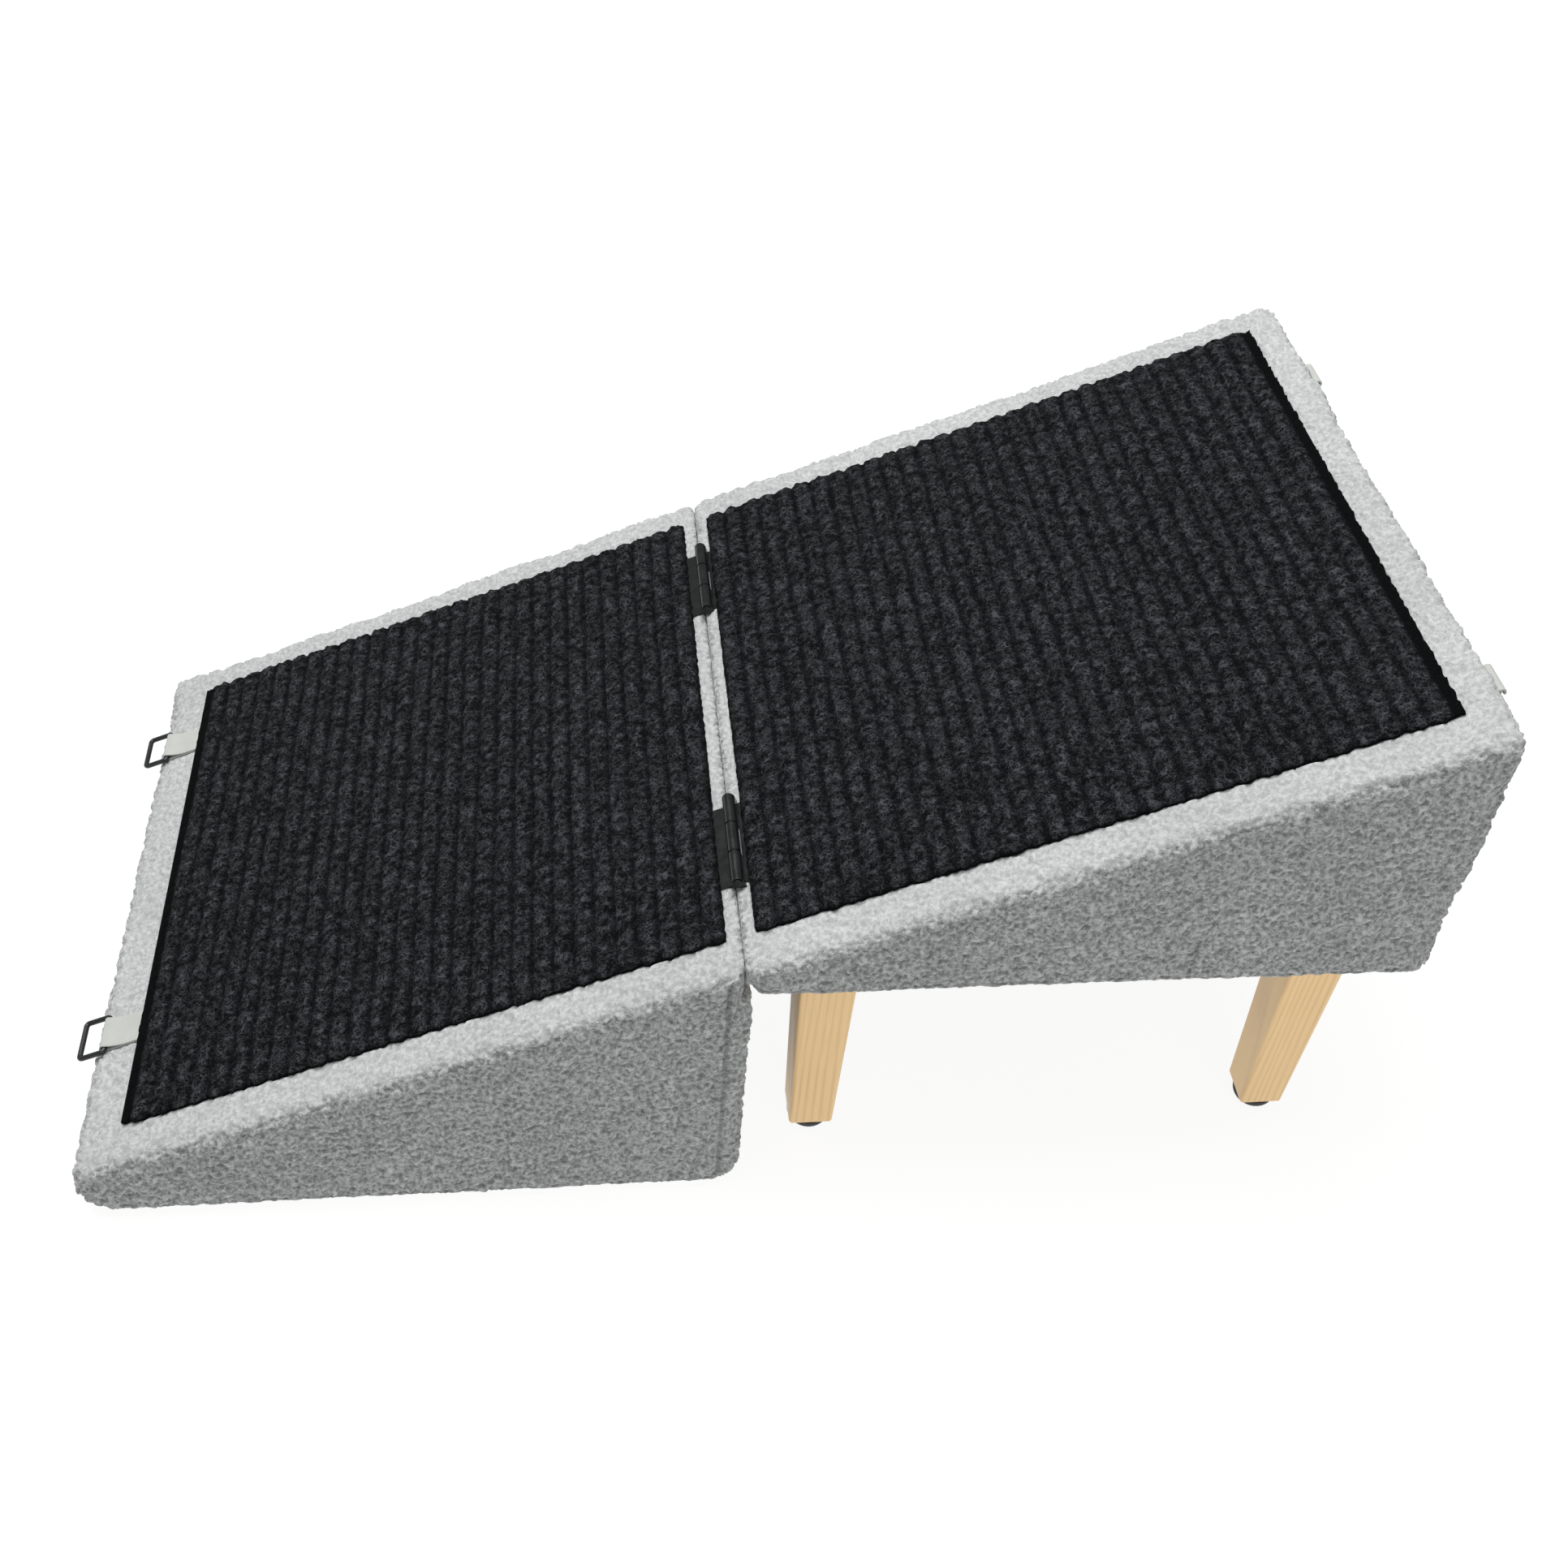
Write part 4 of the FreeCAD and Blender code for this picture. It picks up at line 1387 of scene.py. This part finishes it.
FITTINGS: dict[tuple[str, ...], Finish] = {
    ("leg_bolts", "leg_tnuts", "glide_nails", "lower_box_screws", "upper_box_screws"): ZINC,
    ("tab_staples", "patch_staples"): ZINC,
    ("leg_",): PINE,
    ("glide_",): RubberFinish(),
    ("lower_leaf", "upper_leaf", "lower_hinge_screws", "upper_hinge_screws"): HINGE_PAINT,
    ("hinge_pin",): PinFinish(),
    ("ring_",): RING_PAINT,
    ("seat_foam",): FoamFinish(),
}


def dress_fittings(nodes: dict[str, bpy.types.Object]) -> None:
    """Give every shown node its finish, by the start of its name; the rest are plywood.

    Args:
        nodes: The frame's nodes by name.
    """
    for name, node in nodes.items():
        if node.hide_render:
            continue
        finish = next((f for starts, f in FITTINGS.items() if name.startswith(starts)), PLYWOOD)
        node.data.materials.clear()
        node.data.materials.append(finish.material())
    log.info("fittings: finished")


# ---------------------------------------------------------------- studio


@dataclass
class Studio:
    """Pale floor, soft lights and the camera."""

    camera_place: Vector = Vector((-0.08205, -0.75455, 0.84003))
    camera_turn: Vector = Vector((2.33190326, -0.0853552, 0.12681743))
    lens: float = 40.866
    sensor: float = 36.0

    def build(self) -> None:
        """Set up the whole studio."""
        self.build_floor()
        self.build_lights()
        self.build_camera()
        log.info("studio: ready")

    def build_floor(self) -> None:
        """Plain pale floor."""
        bm = bmesh.new()
        bmesh.ops.create_grid(bm, x_segments=1, y_segments=1, size=6.0)
        floor = link_mesh("floor", bm)
        material = bpy.data.materials.new("pale_floor")
        material.use_nodes = True
        shader = material.node_tree.nodes["Principled BSDF"]
        shader.inputs["Base Color"].default_value = (0.12, 0.12, 0.12, 1)
        shader.inputs["Emission Color"].default_value = (1.0, 1.0, 0.995, 1)
        shader.inputs["Emission Strength"].default_value = 0.92
        shader.inputs["Roughness"].default_value = 0.9
        shader.inputs["Specular IOR Level"].default_value = 0.1
        floor.data.materials.append(material)

    def build_lights(self) -> None:
        """Bright surround with a large soft light overhead."""
        world = bpy.data.worlds.new("studio")
        world.use_nodes = True
        world.node_tree.nodes["Background"].inputs["Color"].default_value = (1, 1, 1, 1)
        world.node_tree.nodes["Background"].inputs["Strength"].default_value = 0.26
        bpy.context.scene.world = world
        self.build_light("overhead", Vector((-0.4, 0.3, 2.4)), 1.8, 74.0)
        self.build_light("front", Vector((0.8, -2.3, 1.1)), 1.4, 9.0)
        bpy.context.scene.view_settings.view_transform = "Standard"

    def build_light(self, name: str, place: Vector, size: float, power: float) -> None:
        """One square light aimed at the ramp.

        Args:
            name: Its name.
            place: Where it stands.
            size: Its side.
            power: Its power in watts.
        """
        light = bpy.data.lights.new(name, "AREA")
        light.shape = "SQUARE"
        light.size = size
        light.energy = power
        lamp = bpy.data.objects.new(name, light)
        lamp.location = place
        lamp.rotation_euler = (Vector((0, 0, 0.15)) - place).to_track_quat("-Z", "Y").to_euler()
        bpy.context.scene.collection.objects.link(lamp)

    def build_camera(self) -> None:
        """Camera at the ramp's near side, looking down on it."""
        data = bpy.data.cameras.new("camera")
        data.sensor_width = self.sensor
        data.lens = self.lens
        data.clip_end = 30
        camera = bpy.data.objects.new("camera", data)
        to_view = Matrix.Rotation(self.camera_turn.length, 3, self.camera_turn.normalized())
        turn = to_view.transposed() @ Matrix.Diagonal((1, -1, -1))
        camera.matrix_world = Matrix.Translation(self.camera_place) @ turn.to_4x4()
        bpy.context.scene.collection.objects.link(camera)
        bpy.context.scene.camera = camera


# ---------------------------------------------------------------- ramp


@dataclass
class DogRamp:
    """The whole ramp: sizes that the sub-assemblies share, and their order."""

    toe_height: float = 33.0 * MM
    carpet_half: float = 175.0 * MM
    lower_carpet: tuple[float, float] = (27.5 * MM, 366.5 * MM)
    upper_carpet: tuple[float, float] = (5.65 * MM, 356.15 * MM)
    leaf_half: float = 28.5 * MM
    leaf_reach: float = 32.4 * MM
    tab_span: tuple[float, float] = (-5.0 * MM, 46.0 * MM)
    tab_half: float = 10.6 * MM
    toe_bottom_round: float = 21.0 * MM
    toe_top_round: float = 9.0 * MM
    lower_back_round: float = 19.0 * MM
    seam_round: float = 2.0 * MM
    belly: float = 5.8 * MM
    upper_front_round: float = 10.0 * MM
    upper_back_round: float = 11.0 * MM
    back_top_round: float = 9.0 * MM
    border: float = 20.0 * MM
    window_depth: float = 3.1 * MM

    def __post_init__(self) -> None:
        """Read the places of both wedges from the frame."""
        self.lower_low, self.lower_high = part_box("lower_cover")
        self.upper_low, self.upper_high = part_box("upper_cover")
        self.lower_slope = Slope(Vector((self.lower_low.x, 0, self.toe_height)))
        foot = Vector((self.upper_low.x, 0, self.lower_slope.height(self.upper_low.x)))
        self.upper_slope = Slope(foot)
        self.ring_ys = {s: sum(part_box(f"ring_{s.value}")[i].y for i in (0, 1)) / 2 for s in Side}
        pin_low, pin_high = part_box("hinge_pin_left")
        self.axis = Vector(((pin_low.x + pin_high.x) / 2, 0, (pin_low.z + pin_high.z) / 2))

    def leaf_spots(self, slope: Slope, direction: int) -> list[tuple[float, float, float, float]]:
        """Rectangles along and across a slope that the hinge leaves cover.

        Args:
            slope: The wedge's slope.
            direction: -1 for the lower wedge, 1 for the upper one.

        Returns:
            Start, end, lowest y and highest y of each.
        """
        axis = (self.axis - slope.foot).dot(slope.run)
        start, end = sorted((axis, axis + direction * self.leaf_reach))
        spots = []
        for side in Side:
            y = side.sign * HINGE_Y
            spots.append((start, end, y - self.leaf_half, y + self.leaf_half))
        return spots

    def build(self) -> None:
        """Build every sub-assembly in order."""
        self.build_lower()
        self.build_upper()
        for side in Side:
            ToeTab(side, self.lower_slope, self.ring_ys[side]).build()
        wall = self.upper_high.x
        for side, body in ((Side.LEFT, Body.STRAP_LEFT), (Side.RIGHT, Body.STRAP_RIGHT)):
            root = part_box(f"strap_patch_{side.value}")[1].z
            low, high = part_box(f"strap_{side.value}")
            ClosingStrap(side, body, wall, (low.y + high.y) / 2, root).build()
        Liner().build()

    def build_lower(self) -> None:
        """Cover and carpet of the lower wedge."""
        low, high, slope = self.lower_low, self.lower_high, self.lower_slope
        leaves = self.leaf_spots(slope, -1)
        tabs = [(*self.tab_span, y - self.tab_half, y + self.tab_half) for y in self.ring_ys.values()]
        FleeceCover(
            name="lower_fleece",
            node="lower_cover",
            body=Body.LOWER,
            corners=[
                Corner(low.x, low.z, self.toe_bottom_round),
                Corner(high.x, low.z, self.lower_back_round),
                Corner(high.x, slope.height(high.x), self.seam_round),
                Corner(low.x, slope.height(low.x), self.toe_top_round),
            ],
            half=high.y,
            slope=slope,
            carpet_span=self.lower_carpet,
            carpet_half=self.carpet_half,
            pressed=leaves + tabs,
            seed=11,
            joint_face=high.x,
            back_seam=high.x + self.belly - 12 * MM,
            belly=self.belly,
            belly_top=self.upper_low.z - 1 * MM,
        ).build()
        Carpet(
            name="lower_ribbed_carpet",
            node="lower_carpet",
            body=Body.LOWER,
            slope=slope,
            start=self.lower_carpet[0],
            end=self.lower_carpet[1],
            half=self.carpet_half,
            flat=(0.350, 0.339),
            rests_on=["lower_fleece"],
            band_at_start=True,
            raised=leaves + tabs,
            seed=31,
        ).build()

    def build_upper(self) -> None:
        """Cover and carpet of the upper wedge."""
        low, high, slope = self.upper_low, self.upper_high, self.upper_slope
        leaves = self.leaf_spots(slope, 1)
        FleeceCover(
            name="upper_fleece",
            node="upper_cover",
            body=Body.UPPER,
            corners=[
                Corner(low.x, low.z, self.upper_front_round),
                Corner(high.x, low.z, self.upper_back_round),
                Corner(high.x, slope.height(high.x), self.back_top_round),
                Corner(low.x, slope.height(low.x), self.seam_round),
            ],
            half=high.y,
            slope=slope,
            carpet_span=self.upper_carpet,
            carpet_half=self.carpet_half,
            pressed=leaves,
            seed=51,
            joint_face=low.x,
            short_seam=high.x - 128 * MM,
            window=(low.x + self.border, high.x - self.border, self.window_depth),
        ).build()
        Carpet(
            name="upper_ribbed_carpet",
            node="upper_carpet",
            body=Body.UPPER,
            slope=slope,
            start=self.upper_carpet[0],
            end=self.upper_carpet[1],
            half=self.carpet_half,
            flat=(0.350, 0.3505),
            rests_on=["upper_fleece"],
            band_at_start=False,
            raised=leaves,
            seed=41,
        ).build()


def main() -> None:
    """Build the ramp in the frame, and the studio round it."""
    logging.basicConfig(level=logging.INFO, format="%(name)s: %(message)s")
    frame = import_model()
    ramp = DogRamp()
    ramp.build()
    dress_fittings(frame["nodes"])
    Studio().build()


if __name__ == "__main__":
    main()
